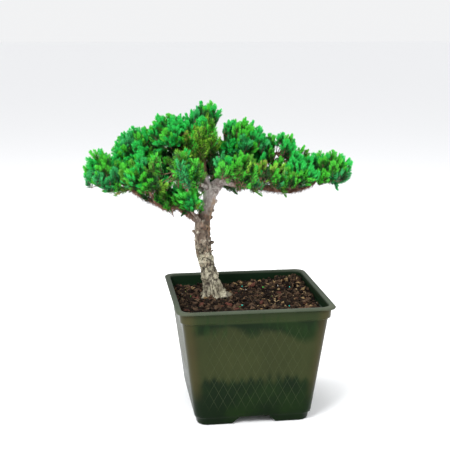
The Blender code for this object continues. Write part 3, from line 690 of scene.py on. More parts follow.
def limb_skin(line, sides, step, relief, flare=None):
    """Points, triangles and depths of a limb's bark: rings on the line, pushed out by the relief."""
    rows, _ = even_line(line, step)
    ways = unit(np.gradient(rows[:, :3], axis=0))
    side = unit(np.cross(ways[0], (0.3, 1.0, 0.1)))
    points, depths = [], []
    turns = np.linspace(0, 2 * math.pi, sides, endpoint=False)
    for row, way in zip(rows, ways):
        side = unit(side - way * (side @ way))
        other = np.cross(way, side)
        spokes = np.cos(turns)[:, None] * side + np.sin(turns)[:, None] * other
        ring = row[:3] + spokes * row[3]
        pushes = np.array([relief(point, row[3]) for point in ring])
        grow = flare(ring, spokes) if flare else 0.0
        points.append(ring + spokes * (pushes[:, :1] + np.reshape(grow, (-1, 1))))
        depths.append(pushes[:, 1])
    points = np.concatenate(points + [rows[-1:, :3] + ways[-1] * rows[-1, 3] * 0.8])
    index = np.arange(len(rows) * sides).reshape(-1, sides)
    quads = quads_between(index)
    cap = [(first, second, len(points) - 1) for first, second in zip(index[-1], np.roll(index[-1], -1))]
    triangles = np.concatenate([quads[:, [0, 1, 2]], quads[:, [0, 2, 3]], cap])
    return points, triangles, np.concatenate(depths + [[0.0]])


def swollen(line):
    """A bough's line with a collar where it leaves its carrier."""
    collar = 1 + 0.40 * np.exp(-((travelled_along(line) / (3.2 * line[0, 3])) ** 2))
    return np.column_stack([line[:, :3], line[:, 3] * collar])


def keep_number(piece, name, values):
    """Keep a number for each point of a mesh."""
    kept = piece.data.attributes.new(name, "FLOAT", "POINT")
    kept.data.foreach_set("value", values.astype(np.float32))


def bark_piece(name, skins):
    """One piece from several limbs' skins, which keeps how deep each point lies."""
    points, triangles, depths = zip(*skins)
    firsts = np.cumsum([0] + [len(part) for part in points])
    triangles = [part + first for part, first in zip(triangles, firsts)]
    piece = new_piece(name, placed(np.concatenate(points)), np.concatenate(triangles))
    keep_number(piece, "crevice", np.concatenate(depths))
    return piece


# %% [markdown]
# The trunk's relief fades from deep plates at the foot to fine streaks at the fork. At
# the soil it spreads into five root swellings, worked out as lobes round the foot, so
# that the flare belongs to the trunk instead of being stuck on.

# %% Trunk with plates and root flare
GROUND = 99.0
ROOTS = ((-12, 7.0, 36), (62, 5.5, 20), (138, 6.0, 20), (205, 1.6, 22), (282, 2.6, 20))
FORK = 200.0
CUT_DEPTH = 0.4
LOWER_TOP = 212.0
LEADER_FOOT = 210.0
BROAD_PLATES = (0.25, 1.7, 4.6)
NARROW_PLATES = (0.75, 1.5, 3.4)
PIT_SIZE = 5.6
STUBS = (
    (159.0, 195, 9.7, 1.6), (148.0, 350, 9.4, 1.9), (187.0, 8, 8.0, 2.6), (179.0, -15, 7.4, 2.4),
    (196.0, 10, 7.2, 2.4), (172.0, -8, 8.2, 2.2), (140.0, 12, 7.9, 1.8), (133.0, 190, 7.6, 1.7),
)


def plates(point, scale, stretch, sharp):
    """Height of plates between winding furrows that run up the trunk: 0 in a furrow, 1 on a plate."""
    spot = Vector((point[0] * scale, point[1] * scale, point[2] * scale / stretch))
    spot += noise.noise_vector(spot * 1.3) * 0.35
    return min(1.0, abs(noise.noise(spot)) * sharp)


def pits(point, size):
    """Knots and torn holes scattered over the bark: 1 in the middle of a pit."""
    distance = noise.voronoi(Vector(point) / size)[0][0]
    return max(0.0, 1.0 - distance / 0.33)


def trunk_relief(point, radius):
    """How far bark stands out at a point, and how deep it lies there."""
    old = float(np.clip((FORK - 4 - point[2]) / 50.0, 0.0, 1.0))
    broad = plates(point, *BROAD_PLATES)
    narrow = plates(point + 40.0, *NARROW_PLATES)
    hole = pits(point, PIT_SIZE)
    lumps = noise.noise(Vector(point) * 0.15) + 0.6 * noise.noise(Vector(point) * 0.34)
    fine = noise.noise(Vector((point[0], point[1], point[2] * 0.4)) * 1.4)
    push = old * (1.20 * (broad - 0.8) + 0.50 * (narrow - 0.8) - 1.5 * hole)
    push += lumps * (0.45 + 1.0 * old) + fine * (0.10 + 0.22 * old)
    deep = (1 - broad) * (0.10 + 0.72 * old) + (1 - narrow) * (0.08 + 0.12 * old) + 1.1 * hole * old
    return push, deep


def root_flare(ring, spokes):
    """The root swellings at the trunk's foot."""
    above = max(0.0, float(ring[:, 2].mean()) - GROUND)
    bearings = np.degrees(np.arctan2(spokes[:, 1], spokes[:, 0]))
    lobes = np.zeros(len(ring))
    for bearing, reach, spread in ROOTS:
        off = (bearings - bearing + 180) % 360 - 180
        lobes += reach * np.exp(-(off / spread) ** 2)
    return lobes * math.exp(-(above / 4.6) ** 1.15) + 0.8 * math.exp(-above / 6.0)


trunk_line, _ = even_line(lines["trunk"], 0.25)
trunk_line = trunk_line[trunk_line[:, 2] > GROUND - CUT_DEPTH]
lower_trunk = trunk_line[trunk_line[:, 2] < LOWER_TOP]
leader = trunk_line[trunk_line[:, 2] >= LEADER_FOOT]
skins = [limb_skin(lower_trunk, 128, 0.36, trunk_relief, root_flare)]
for height, bearing, reach, radius in STUBS:
    row = trunk_line[int(np.argmin(abs(trunk_line[:, 2] - height)))]
    way = np.array([math.cos(math.radians(bearing)), math.sin(math.radians(bearing)), 0.35])
    shares = np.linspace(0, 1, 8)
    stub = np.column_stack([row[:3] + way * reach * shares[:, None], radius * (1 - 0.35 * shares)])
    skins.append(limb_skin(stub, 20, 0.5, trunk_relief))
trunk = bark_piece("trunk_bark", skins)
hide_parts("trunk")

# %% [markdown]
# Bark colour follows age: grey-tan with a green cast on the old plates, brownish grey
# in the middle, and smooth pinkish grey near the fork. Rusty patches show where plates
# fell, and the right side flakes. The kept depth paints shade, nearly black, into the crevices.

# %% Paint the old bark
bark = Finish("old_bark")
here = bark.place()
_, _, z = bark.axes(here)
facing_right, _, _ = bark.facing()
cloud = bark.grain(here, 95.0, 4.0)
fine = bark.grain(bark.scaled(here, 1.0, 1.0, 0.35), 700.0, 3.0)
patch = bark.grain(here, 210.0, 2.0)
rust = bark.grain(here, 150.0, 3.0).band(0.54, 0.64) * z.band(0.120, 0.140) * (1 - z.band(0.180, 0.190))
flaking = facing_right.band(0.30, 0.75) * z.band(0.150, 0.165) * (1 - z.band(0.200, 0.205))
colour = bark.coats(
    bark.blend(cloud.band(0.38, 0.62), (0.140, 0.120, 0.078), (0.430, 0.400, 0.290)),
    (z.band(0.138, 0.158), bark.blend(cloud.band(0.38, 0.62), (0.090, 0.063, 0.045), (0.235, 0.180, 0.136))),
    (z.band(0.176, 0.192), bark.blend(cloud.band(0.36, 0.60), (0.330, 0.280, 0.258), (0.780, 0.715, 0.675))),
    (patch.band(0.56, 0.70) * 0.45, (0.66, 0.61, 0.49)),
    (rust * 0.55, (0.190, 0.090, 0.055)),
    (flaking * patch.band(0.40, 0.55) * 0.75, (0.330, 0.200, 0.110)),
    (fine.band(0.5, 0.25) * 0.32, (0.10, 0.075, 0.055)),
    # Painted shade: nearly black in the crevices, by the kept depth.
    ((bark.kept("crevice") * 1.15).least(1.0) * 0.92, (0.030, 0.021, 0.015)),
)
relief = bark.bump(fine + cloud * 0.6, 0.0004, 0.7)
dress(trunk, bark.paint(base_color=colour, roughness=0.92, normal=relief))

# %% [markdown]
# The boughs are younger wood: light wrinkles and leaf scars, brown where they leave the
# trunk, pinkish grey on the fork and red-brown further out. They share one mesh, start
# inside their carrier so no joint shows, and keep the part's lines and radii.

# %% Boughs and the leader
YOUNG_FLAKES = (0.95, 1.5, 3.0)
FORK_X = float(POT_MIDDLE[0]) - 0.0300
BOUGHS = [mass for mass in MASSES if mass.along is not None]


def young_relief(point, radius):
    """How far young wood stands out at a point, and how deep it lies there."""
    wrinkle = noise.noise(Vector(point) * 0.9)
    flake = plates(point, *YOUNG_FLAKES)
    return radius * (0.12 * wrinkle + 0.16 * (flake - 0.7)), 0.8 * (1 - flake)


skins = [limb_skin(leader, 16, 0.6, young_relief)]
for mass in BOUGHS:
    sides, step = (28, 0.4) if mass.name in LONG_WAYS else (14, 0.7)
    skins.append(limb_skin(swollen(lines[mass.name]), sides, step, young_relief))
boughs = bark_piece("bough_bark", skins)
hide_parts(*["bough_" + mass.name for mass in BOUGHS])

young = Finish("young_bark")
here = young.place()
x, _, z = young.axes(here)
cloud = young.grain(here, 240.0, 4.0)
streaks = cloud.band(0.35, 0.65)
red = young.blend(streaks, (0.120, 0.052, 0.032), (0.270, 0.140, 0.090))
grey = young.blend(streaks, (0.250, 0.205, 0.183), (0.600, 0.540, 0.500))
colour = young.coats(
    young.blend(streaks, (0.130, 0.095, 0.075), (0.330, 0.265, 0.220)),
    (z.band(0.180, 0.198), grey),
    (abs(x - FORK_X).band(0.012, 0.028).most(z.band(0.209, 0.219)), red),
    # Painted shade in the crevices of the young wood, by the kept depth.
    (young.kept("crevice").least(1.0) * 0.8, (0.045, 0.025, 0.018)),
)
relief = young.bump(cloud, 0.0003, 0.6)
dress(boughs, young.paint(base_color=colour, roughness=0.88, normal=relief))

# %% [markdown]
# ## Needles, shoots and sprays
# A garden juniper's leaf is a stiff awl about 4 mm long, and leaves sit in threes round
# a shoot. At the tips they are short and pressed forward, so a shoot looks like a
# stubby finger and a fan of them like a hand; further in they spread like a feather,
# combed to both sides and upwards. A plume is a rising branchlet with short feathered
# shoots all round. A few sprays of each kind are grown once, as arrays of needle roots
# and directions, and then turned and moved to every place. That is far quicker than
# thousands of objects.

# %% Grow the sprays
RANDOM = np.random.default_rng(11)
VARIANTS = 12
AHEAD = np.array([1.0, 0.0, 0.0])
LENGTHS = {"fan": 14.5, "feather": 19.0, "plume": 25.0}
FAN_FINGERS = 6
PLUME_SHOOTS = 6
ShootKind = namedtuple("ShootKind", "pitch wide narrow close long short width combed")
FINGER = ShootKind(0.82, 35, 24, 15, 3.3, 2.5, 1.00, False)
FEATHER = ShootKind(1.40, 58, 36, 16, 5.6, 3.8, 1.30, True)
SPRIG = ShootKind(1.35, 54, 36, 16, 4.4, 3.0, 1.25, True)
COMB = (0.0, math.pi, math.pi / 2)
Spray = namedtuple("Spray", "roots ways lengths axes widths shares rods")


def cross_axes(ways):
    """Two directions square to a way, or to each of a row of them."""
    side = unit(np.cross(ways, (0.31, 0.17, 0.93)))
    return side, np.cross(ways, side)


def grow_shoot(kind, start, way, length, bend):
    """Rows of (root, direction, length, axis, width, share of the way to the tip) for a shoot's needles."""
    whorls = max(4, int(length / kind.pitch))
    rows = []
    for number in range(whorls + 1):
        share = min(1.0, (number + 0.5) / whorls)
        centre = start + way * share * length + bend * share ** 2 * length
        heading = unit(way + 2 * share * bend)
        side, other = cross_axes(heading)
        if kind.combed:
            side = unit(np.cross(UP, heading))
            other = np.cross(side, heading)
        spread = math.radians(kind.close if number == whorls else kind.wide + (kind.narrow - kind.wide) * share)
        for third, combed_angle in enumerate(COMB):
            angle = number * math.pi / 3 + third * 2 * math.pi / 3 + RANDOM.uniform(-0.3, 0.3)
            if kind.combed:
                angle = combed_angle + RANDOM.normal(0, 0.28)
            spoke = side * math.cos(angle) + other * math.sin(angle)
            lean = spread * RANDOM.uniform(0.8, 1.2)
            reach = (kind.long + (kind.short - kind.long) * share) * RANDOM.uniform(0.88, 1.12)
            aim = heading * math.cos(lean) + spoke * math.sin(lean)
            rows.append((centre + spoke * 0.3, aim, reach, heading, kind.width, share))
    return rows


def grow_fan():
    """A hand of blunt fingers: one ahead, and six that leave it on both sides in turn."""
    rows = grow_shoot(FINGER, AHEAD * 5.0, AHEAD, 8.2, UP * RANDOM.uniform(-0.12, 0.12))
    rods = [(AHEAD * 0.0, AHEAD * 11.0)]
    for number in range(FAN_FINGERS):
        hand = 1 if number % 2 else -1
        start = AHEAD * (1.2 + 1.15 * number + RANDOM.uniform(-0.3, 0.3))
        angle = math.radians(54 - 4.6 * number + RANDOM.uniform(-6, 6))
        tilt = RANDOM.uniform(-0.7, 0.7)
        across = math.sin(angle)
        way = np.array([math.cos(angle), hand * across * math.cos(tilt), across * math.sin(tilt)])
        reach = (8.6 - 0.55 * number) * RANDOM.uniform(0.82, 1.12)
        bend = np.array([0.12, -0.20 * hand, RANDOM.uniform(-0.1, 0.1)])
        rows += grow_shoot(FINGER, start, way, reach, bend)
        rods.append((start, start + way * reach * 0.7 + bend * reach * 0.49))
    return rows, rods


def grow_feather():
    """A long open shoot with two or three short ones low on its sides."""
    length = LENGTHS["feather"]
    bend = np.array([0, *RANDOM.uniform(-0.10, 0.10, 2)])
    rows = grow_shoot(FEATHER, AHEAD * 0.6, AHEAD, length - 3.4, bend)
    rods = [(AHEAD * 0.0, AHEAD * (length - 4.0) + bend * length * 0.7)]
    for number in range(int(RANDOM.integers(2, 4))):
        hand = 1 if number % 2 else -1
        start = AHEAD * (3.0 + 3.4 * number)
        way = unit([0.80, 0.62 * hand, RANDOM.uniform(-0.4, 0.4)])
        rows += grow_shoot(FEATHER, start, way, 5.4 - number, np.array([0.1, -0.1 * hand, 0.0]))
        rods.append((start, start + way * 5.0))
    return rows, rods


def grow_plume():
    """A rising branchlet with short feathered shoots off it on all sides, low ones longest."""
    length = LENGTHS["plume"]
    bend = np.array([0, *RANDOM.uniform(-0.10, 0.10, 2)])
    rows = grow_shoot(SPRIG, AHEAD * 5.0, AHEAD, length - 8.0, bend)
    rods = [(AHEAD * 0.0, AHEAD * (length - 6.0) + bend * length * 0.6)]
    for number in range(PLUME_SHOOTS):
        share = (number + 0.5) / PLUME_SHOOTS
        start = AHEAD * length * 0.74 * share + bend * share ** 2 * length * 0.5
        bearing = number * math.pi + RANDOM.uniform(-0.6, 0.6)
        lean = math.radians(44 - 12 * share + RANDOM.uniform(-7, 7))
        across = math.sin(lean)
        way = np.array([math.cos(lean), across * math.cos(bearing), across * math.sin(bearing)])
        reach = (11.5 - 4.5 * share) * RANDOM.uniform(0.80, 1.15)
        rows += grow_shoot(SPRIG, start, way, reach, AHEAD * 0.12)
        rods.append((start, start + way * reach * 0.8))
    return rows, rods


LIBRARY = {}
for kind, grow in (("fan", grow_fan), ("feather", grow_feather), ("plume", grow_plume)):
    grown = [grow() for _ in range(VARIANTS)]
    LIBRARY[kind] = [Spray(*map(np.array, zip(*rows)), np.array(rods)) for rows, rods in grown]
print("needles in a spray:", {kind: len(sprays[0].roots) for kind, sprays in LIBRARY.items()})

# %% [markdown]
# ## Where the sprays stand
# Each mass keeps the part's rule: a stem to its heart, and twigs round it by the golden
# angle, only many more of them. Real masses flow into each other, so the depths in all
# masses are melted into one, and a spray's tips just reach that common outline. Tips
# look for light, so the sprays turn upwards. Spots (x, z and radius, as seen from the
# front) keep the hollows between masses dark, the fork and long boughs bare, and open
# the small gaps where sky shows.

# %% Place the sprays of the masses
GOLDEN_ANGLE = math.pi * (3 - math.sqrt(5))
MELT = 4.5
CRISP_MELT = 11.0
OUTER_AREA = 18.0
LOOSE_AREA = OUTER_AREA * 1.35
LOOSE_DEPTHS = (0.66, 1.08)
Layer = namedtuple("Layer", "kind share highest lowest offset depths scales")
LAYERS = (
    Layer("fan", 1.0, 0.99, -0.55, 0.0, (0.88, 1.06), (0.86, 1.08)),
    Layer("fan", 0.55, 0.95, -0.45, 1.3, (0.72, 0.86), (0.85, 1.0)),
    Layer("feather", 0.45, 0.75, -0.90, 2.1, (0.66, 0.97), (0.62, 0.85)),
)
PLUMES_BELOW = {"front_left": 0.9, "front_right": 0.3, "right_low": 0.3, "left_inner": 0.3}
FEATHERY_SPOTS = (
    (-50, 226, 18), (-40, 247, 13), (-2, 214, 14), (28, 220, 13), (46, 204, 13), (-72, 203, 12),
    (-98, 203, 8),
)
HOLLOWS = (
    (-68, 229, 9), (-67, 221, 7), (-69, 238, 6), (-21, 266, 5), (-20, 257, 5), (-17, 248, 3),
    (104, 210, 10), (-146, 208, 12), (-137, 201, 9), (-48, 229, 4), (75, 203, 6), (105, 219, 5),
)
BARE_SPOTS = (
    (-31, 203, 6), (-24, 206, 5), (-16, 208, 4), (-36, 193, 5), (-43.5, 177, 6),
    (-33.5, 214, 4), (-33.5, 221, 3.5), (-34, 229, 3), (-10, 208.5, 3.5),
)
SKY_SPOTS = (
    (32.1, 237.9, 2.6), (39.7, 228.5, 2), (24.8, 224.2, 1.6), (23, 206.6, 1.6), (13.7, 208.6, 1.3),
    (-40.5, 201, 1.7), (-21.3, 264, 3.4), (-22.4, 258, 2.4), (-19.2, 250.6, 2), (-25, 253, 1.6),
    (-33.4, 260.9, 1.2),
)
FRONT_PLANE = 15.0
SIGHT_RIGHT = math.tan(math.radians(TURN_RIGHT))
SIGHT_DOWN = math.tan(math.radians(LOOK_DOWN))
ABOVE_BOUGH = 3.2
BEHIND_BOUGH = -1.5
OFF_LIMBS = 0.6

MIDDLES = np.array([mass.middle for mass in MASSES])
HALVES = np.array([mass.half for mass in MASSES])
FRAMES = np.array([axes_of(mass) for mass in MASSES])
limb_parts = [(a[:3], b[:3], max(a[3], b[3])) for line in lines.values() for a, b in zip(line[::2], line[2::2])]
limb_heads, limb_ends, limb_radii = map(np.array, zip(*limb_parts))
limb_runs = limb_ends - limb_heads
Place = namedtuple("Place", "foot out side scale kind family")
places = []
twig_rods = []


def crown_depth(points, melt=MELT):
    """Depth in the crown as a whole: 1 on the outline in which the masses flow together."""
    local = np.einsum("mij,pmj->pmi", FRAMES, np.atleast_2d(points)[:, None, :] - MIDDLES)
    halves = np.where(local[..., 2:] < 0, HALVES * (1, 1, UNDERSIDE), HALVES)
    return -np.log(np.exp(-melt * np.linalg.norm(local / halves, axis=2)).sum(axis=1)) / melt


def from_front(point, plane=FRONT_PLANE):
    """Where a point shows to someone in front who looks down a little: (x, z) on an upright plane."""
    behind = point[1] - plane
    return point[0] - behind * SIGHT_RIGHT, point[2] + behind * SIGHT_DOWN


def in_spots(spots, point):
    """How far a point is inside the nearest spot, as seen from the front: over 0 inside."""
    seen_x, seen_z = from_front(point)
    return max(1 - math.hypot(seen_x - x, seen_z - z) / radius for x, z, radius in spots)


def hides_wood(points):
    """Whether a spray would hang in front of a long bough or of the fork, which the plant shows."""
    for point in points:
        for line in (lines["far_right"], lines["far_left"]):
            seen_x, _ = from_front(point, line[0, 1])
            row = line[int(np.argmin(abs(line[:, 0] - seen_x)))]
            _, seen_z = from_front(point, row[1])
            lowest = row[2] + (ABOVE_BOUGH if point[1] < row[1] + 2 else BEHIND_BOUGH)
            if abs(row[0] - seen_x) < 2 and seen_z < lowest:
                return True
        if point[1] < 24 and in_spots(BARE_SPOTS, point) > 0:
            return True
    return False


def blocks_sky(foot, tip):
    """Whether a spray would stand in one of the gaps through which sky shows."""
    return any(in_spots(SKY_SPOTS, foot + (tip - foot) * share) > -1.0 for share in (0.35, 0.7, 1.0))


def clearance(points):
    """How far points stay off the limbs, in millimetres."""
    offset = np.atleast_2d(points)[:, None, :] - limb_heads
    share = np.clip((offset * limb_runs).sum(2) / (limb_runs ** 2).sum(1), 0, 1)
    return (np.linalg.norm(offset - share[:, :, None] * limb_runs, axis=2) - limb_radii).min(axis=1)


def aims(count, highest, lowest, offset):
    """Directions round a mass by the golden angle, from high to low."""
    for number in range(count):
        rise = highest + (lowest - highest) * (number + 0.5) / count
        bearing = number * GOLDEN_ANGLE + offset + RANDOM.uniform(-0.3, 0.3)
        flat = math.sqrt(1 - rise ** 2)
        yield np.array([flat * math.cos(bearing), flat * math.sin(bearing), rise])


def facing(out, radial):
    """The side direction of a spray that turns its flat face outwards, give or take."""
    side = unit(np.cross(out, unit(radial) + RANDOM.normal(0, 0.30, 3)))
    roll = RANDOM.normal(0, 0.35)
    return side * math.cos(roll) + np.cross(out, side) * math.sin(roll)


def stand_spray(mass, aim, depth, kind, scale):
    """Stand a spray so that its tips reach the given depth of the crown towards an aim."""
    axes = axes_of(mass)
    radial = (aim * mass.half * ((1, 1, UNDERSIDE) if aim[2] < 0 else (1, 1, 1))) @ axes
    if kind == "fan" and aim[2] < PLUMES_BELOW.get(mass.name, -1):
        kind = "plume"
    ray = mass.middle + np.linspace(0.45, 1.40, 39)[:, None] * radial
    outside = np.flatnonzero(crown_depth(ray, CRISP_MELT if aim[2] > 0.25 else MELT) > depth)
    if not len(outside):
        return
    target = ray[outside[0]]
    if kind == "fan" and aim[2] < 0.75 and RANDOM.uniform() < 0.25 + 1.1 * in_spots(FEATHERY_SPOTS, target):
        kind, scale = "feather", scale * 0.85
    steep = float(np.interp(aim[2], (-0.6, 0.0, 0.5), (0.28, 0.72, 0.86)))
    away = axes[0] * (0.0 if mass.name == "apex" else 0.20)
    out = unit(unit(radial) * (1.05 - steep) + UP * steep + away + RANDOM.normal(0, 0.13, 3))
    foot = target - out * LENGTHS[kind] * scale
    middle = (foot + target) / 2
    if clearance([foot, middle, target]).min() < OFF_LIMBS or hides_wood((middle, target)):
        return
    if target[1] < 18 and max(in_spots(HOLLOWS, target), in_spots(HOLLOWS, target - out * 4)) > 0:
        return
    if blocks_sky(foot, target):
        return
    places.append(Place(foot, out, facing(out, radial), scale, kind, None))
    heart = heart_of(mass)
    knee = heart + (foot - heart) * 0.55 - UP * 0.8
    twig_rods.append((heart, knee, 0.60, 0.45))
    twig_rods.append((knee, foot + out, 0.45, 0.34))


for mass in MASSES:
    out, across, up = mass.half
    loose = mass.name in PLUMES_BELOW
    count = round((out * across + up * (out + across) / 2) / (LOOSE_AREA if loose else OUTER_AREA))
    for layer in LAYERS:
        depths = LOOSE_DEPTHS if loose and layer is LAYERS[0] else layer.depths
        for aim in aims(round(count * layer.share), layer.highest, layer.lowest, layer.offset):
            stand_spray(mass, aim, RANDOM.uniform(*depths), layer.kind, RANDOM.uniform(*layer.scales))
print("sprays in the masses:", len(places))

# %% [markdown]
# Open shoots also stand along the boughs and the leader, from a third of their length
# on, and close the space between wood and masses. Some sprays show clearly enough in
# the photo to be set one by one: each row below gives a spray's foot, its tip and its
# green. Feathers are strewn behind the fork, where the plant is dense, most in the green of painted shade and
# the rest olive.

# %% Set sprays and clothe the limbs
SET_SPRAYS = {
    "feather": (
        (-107, 10, 203.5, -129.5, 7, 203.5, "olive"), (-83, 9, 191.5, -98.5, 3, 207, "shade"),
        (-101, 9, 204.5, -117, 3, 204, "olive"), (-77.5, 8, 189.5, -73, 4, 207, "yellow"),
        (-88, 6, 195, -85, -2, 213, "olive"), (-68, 7, 187, -60, 0, 203, "yellow"),
        (-58, 8, 199, -60, -3, 219, "blue"), (-60, 2, 216, -60, -6, 241, "yellow"),
        (-52, 8, 219, -54, -2, 243, "yellow"), (-42, 13, 212, -44, 8, 236, "yellow"),
        (-46, 10, 208, -49, 4, 224, "blue"), (-25, 15, 214, -20, 8, 239, "blue"),
        (-29, 17, 219, -26, 10, 240, "shade"), (-31.5, 24, 211, -27, 27, 232, "shade"),
        (-28, 22, 210, -23, 25, 231, "olive"), (-32.5, 19, 226, -27, 15, 243, "olive"),
        (-38, 24, 211, -42, 28, 233, "shade"), (-22, 20, 211, -18, 24, 230, "shade"),
        (-14, 12, 208, -9, 3, 228, "olive"), (-6, 10, 214, -8.5, 2, 240, "yellow"),
        (-17, 28, 206, -3, 25, 196, "shade"), (-20, 30, 207, -9, 27, 197.5, "shade"),
        (31, 9, 205, 40, 6, 195.5, "olive"), (28, 8, 203, 44, 2, 212, "yellow"),
        (4, 10, 204, 16, 2, 198, "olive"), (83, 10, 209, 88, 8, 199, "blue"),
        (-54.5, 4, 183, -61, 0, 200, "olive"), (-52, 5, 186, -58.5, 2, 179.5, "shade"),
        (-50, 4, 187, -43.5, 0, 205, "fresh"), (-47, 6, 190, -39.5, 0, 203, "olive"),
        (-50, 2, 187, -39.5, -4, 195.5, "blue"), (-49, 8, 186, -39, 5, 194, "fresh"),
        (-46, 11, 203, -52, 2, 218, "olive"), (-45, 11, 203, -46.5, 2, 219, "yellow"),
        (-29, 16, 243, -27.5, 12, 261, "olive"), (-32, 14, 245, -30, 8, 266, "fresh"),
        (-24, 17, 236, -22.5, 13, 251, "olive"), (-29, 31, 199, -26.5, 29, 216, "olive"),
        (-24.5, 31, 201, -22, 29, 218, "shade"), (-31.5, 32, 200, -31, 30, 217, "shade"),
        (-36, 12, 251, -34.5, 6, 269, "yellow"), (-31, 12, 251, -29.5, 8, 268, "olive"),
    ),
    "plume": (
        (-50, 8, 234, -49, -1, 259, "fresh"), (-43, 8, 236, -41, -2, 262, "yellow"),
        (-36, 8, 236, -34, 0, 263, "fresh"), (-31, 10, 232, -27.5, 4, 255, "yellow"),
        (-41, 8, 226, -43, -2, 250, "yellow"), (-52, 6, 212, -60, -8, 240, "yellow"),
        (-50, 6, 210, -54, -6, 232, "olive"), (-56, 4, 214, -67, -6, 236, "olive"),
        (-42, 11, 209, -44, 4, 233, "yellow"), (-40, 11, 208, -46, 4, 224, "yellow"),
        (-22, 14, 212, -19.5, 5, 237, "blue"), (-27, 16, 214, -26, 8, 240, "shade"),
    ),
    "fan": (
        (-129, 14, 223, -142, 11, 234, "emerald"), (-128, 16, 226, -138, 15, 239.5, "fresh"),
        (-124, 18, 226, -131, 18, 240.5, "emerald"), (-128, 10, 221, -143, 6, 227, "emerald"),
        # The bright sprays sit in the shadow of the mass above and get a green with painted light.
        (-127, 6, 217, -141.5, 0, 222, "blue"), (-53, -2, 201, -58.5, -12, 213, "bright"),
        (-51, -2, 202, -53, -13, 216.5, "bright"), (-50, -2, 200, -48.5, -12, 213.5, "bright"),
        (-55, -4, 193, -62, -13, 204.5, "bright"), (-50.5, -5, 191, -48.5, -14, 204, "bright"),
        (-52, -4, 193, -54.5, -15, 207, "bright"), (-51, -3, 195, -51, -14, 209.5, "fresh"),
        (-28, 18, 262, -21.5, 14, 275.5, "emerald"), (-30, 16, 265, -27, 12, 280, "emerald"),
        (-14.5, 14, 251, -14.5, 14, 265, "emerald"), (-74, 15, 258, -79, 13, 271.5, "emerald"),
    ),
}
BEHIND_FORK = ((-48, 25, 204), (-18, 42, 214))
BEHIND_RISE = ((-5, -2, 18), (5, 4, 26))
BEHIND_COUNT = 26
BARE_SHARES = {"trunk": 0.0, "far_right": 0.16}
BARE_SHARE = 0.34


def stand_between(foot, tip, kind, family=None):
    """Stand one spray between two points."""
    out = unit(tip - foot)
    scale = np.linalg.norm(tip - foot) / LENGTHS[kind]
    radial = tip - (TRUNK[-1][0], TRUNK[-1][1], tip[2])
    places.append(Place(foot, out, facing(out, radial), scale, kind, family))


for kind, rows in SET_SPRAYS.items():
    for *ends, family in rows:
        foot, tip = np.reshape(ends, (2, 3)).astype(float)
        stand_between(foot, tip, kind, family)
        if kind == "fan":
            nearest = min(MASSES, key=lambda mass: math.dist(mass.middle, foot))
            twig_rods.append((foot, heart_of(nearest), 0.4, 0.5))
for _ in range(BEHIND_COUNT):
    foot = RANDOM.uniform(*BEHIND_FORK)
    tip = foot + RANDOM.uniform(*BEHIND_RISE)
    twig_rods.append((heart_of(MASSES[-1] if foot[0] > -33 else MASSES[-2]), foot, 0.5, 0.4))
    stand_between(foot, tip, "feather", "shade" if RANDOM.uniform() < 0.6 else "olive")

for name, line in {**lines, "trunk": lines["trunk"][lines["trunk"][:, 2] > 209]}.items():
    rows, spots = even_line(line, 2.4)
    ways = unit(np.gradient(rows[:, :3], axis=0))
    for row, way, share in zip(rows, ways, spots / spots[-1]):
        if share < BARE_SHARES.get(name, BARE_SHARE):
            continue
        for _ in range(3):
            spoke = unit(np.cross(way, RANDOM.normal(0, 1, 3)))
            out = unit(spoke * 0.85 + way * 0.35 + UP * RANDOM.uniform(0.15, 0.9))
            start = row[:3] + out * (row[3] + RANDOM.uniform(0.5, 5.0))
            tip = start + out * LENGTHS["feather"] * RANDOM.uniform(0.55, 0.85)
            if crown_depth(tip)[0] > (1.40 if tip[2] > row[2] + 4.0 else 1.05):
                continue
            if clearance(tip)[0] < 1.5 or tip[2] < row[2] - 1.0 or hides_wood((start + out * 6, tip)):
                continue
            if blocks_sky(start, tip):
                continue
            twig_rods.append((row[:3], start, 0.5, 0.4))
            stand_between(start, tip, "feather")
print("sprays in all:", len(places))

# %% [markdown]
# ## Greens
# The plant has no single green. Tips are emerald, some with a blue bloom; sprays in
# half light are a softer mid green; inner feathers turn olive and yellow-green, and a few
# tips are tan. Sprays deep in the crown and in its hollows get a nearly black green,
# painted shade, and a few in the shadow of a mass above get a brighter green, painted
# light. Each spray is dealt one of these by where it stands, and its needles go into a
# darker piece near the root, painted shade, and a brighter one near the tip. Every piece
# is a plain colour, so nothing depends on a texture.

# %% Deal the greens to the sprays
# Each _root green is the darker copy of its _tip green: painted shade for needles near a spray's root.
GREENS = {
    "emerald_tip": (0.026, 0.500, 0.080), "emerald_root": (0.011, 0.150, 0.024),
    "fresh_tip": (0.070, 0.500, 0.036), "fresh_root": (0.026, 0.160, 0.015),
    "blue_tip": (0.040, 0.390, 0.105), "blue_root": (0.016, 0.150, 0.047),
    "olive_tip": (0.105, 0.350, 0.034), "olive_root": (0.038, 0.135, 0.015),
    "yellow_tip": (0.210, 0.470, 0.038), "yellow_root": (0.060, 0.150, 0.014),
    "shade_tip": (0.016, 0.095, 0.018), "shade_root": (0.006, 0.030, 0.006),
    "bright_tip": (0.095, 0.720, 0.090), "bright_root": (0.030, 0.230, 0.026),
    "tan_tip": (0.400, 0.310, 0.100),
}
BLUE_SPOTS = (
    (-113, 212, 11), (-105, 243, 9), (-1, 238, 9), (-10, 257, 7),
    (91, 216, 10), (60, 208, 7), (-52, 192, 5), (-20, 226, 6), (-38, 268, 5),
)
OLIVE_SPOTS = (
    (-50, 228, 14), (-40, 248, 12), (-4, 212, 9), (7, 221, 12), (-46, 187, 8), (28, 220, 12), (46, 204, 12),
    (-74, 203, 10), (-98, 203, 8),
)
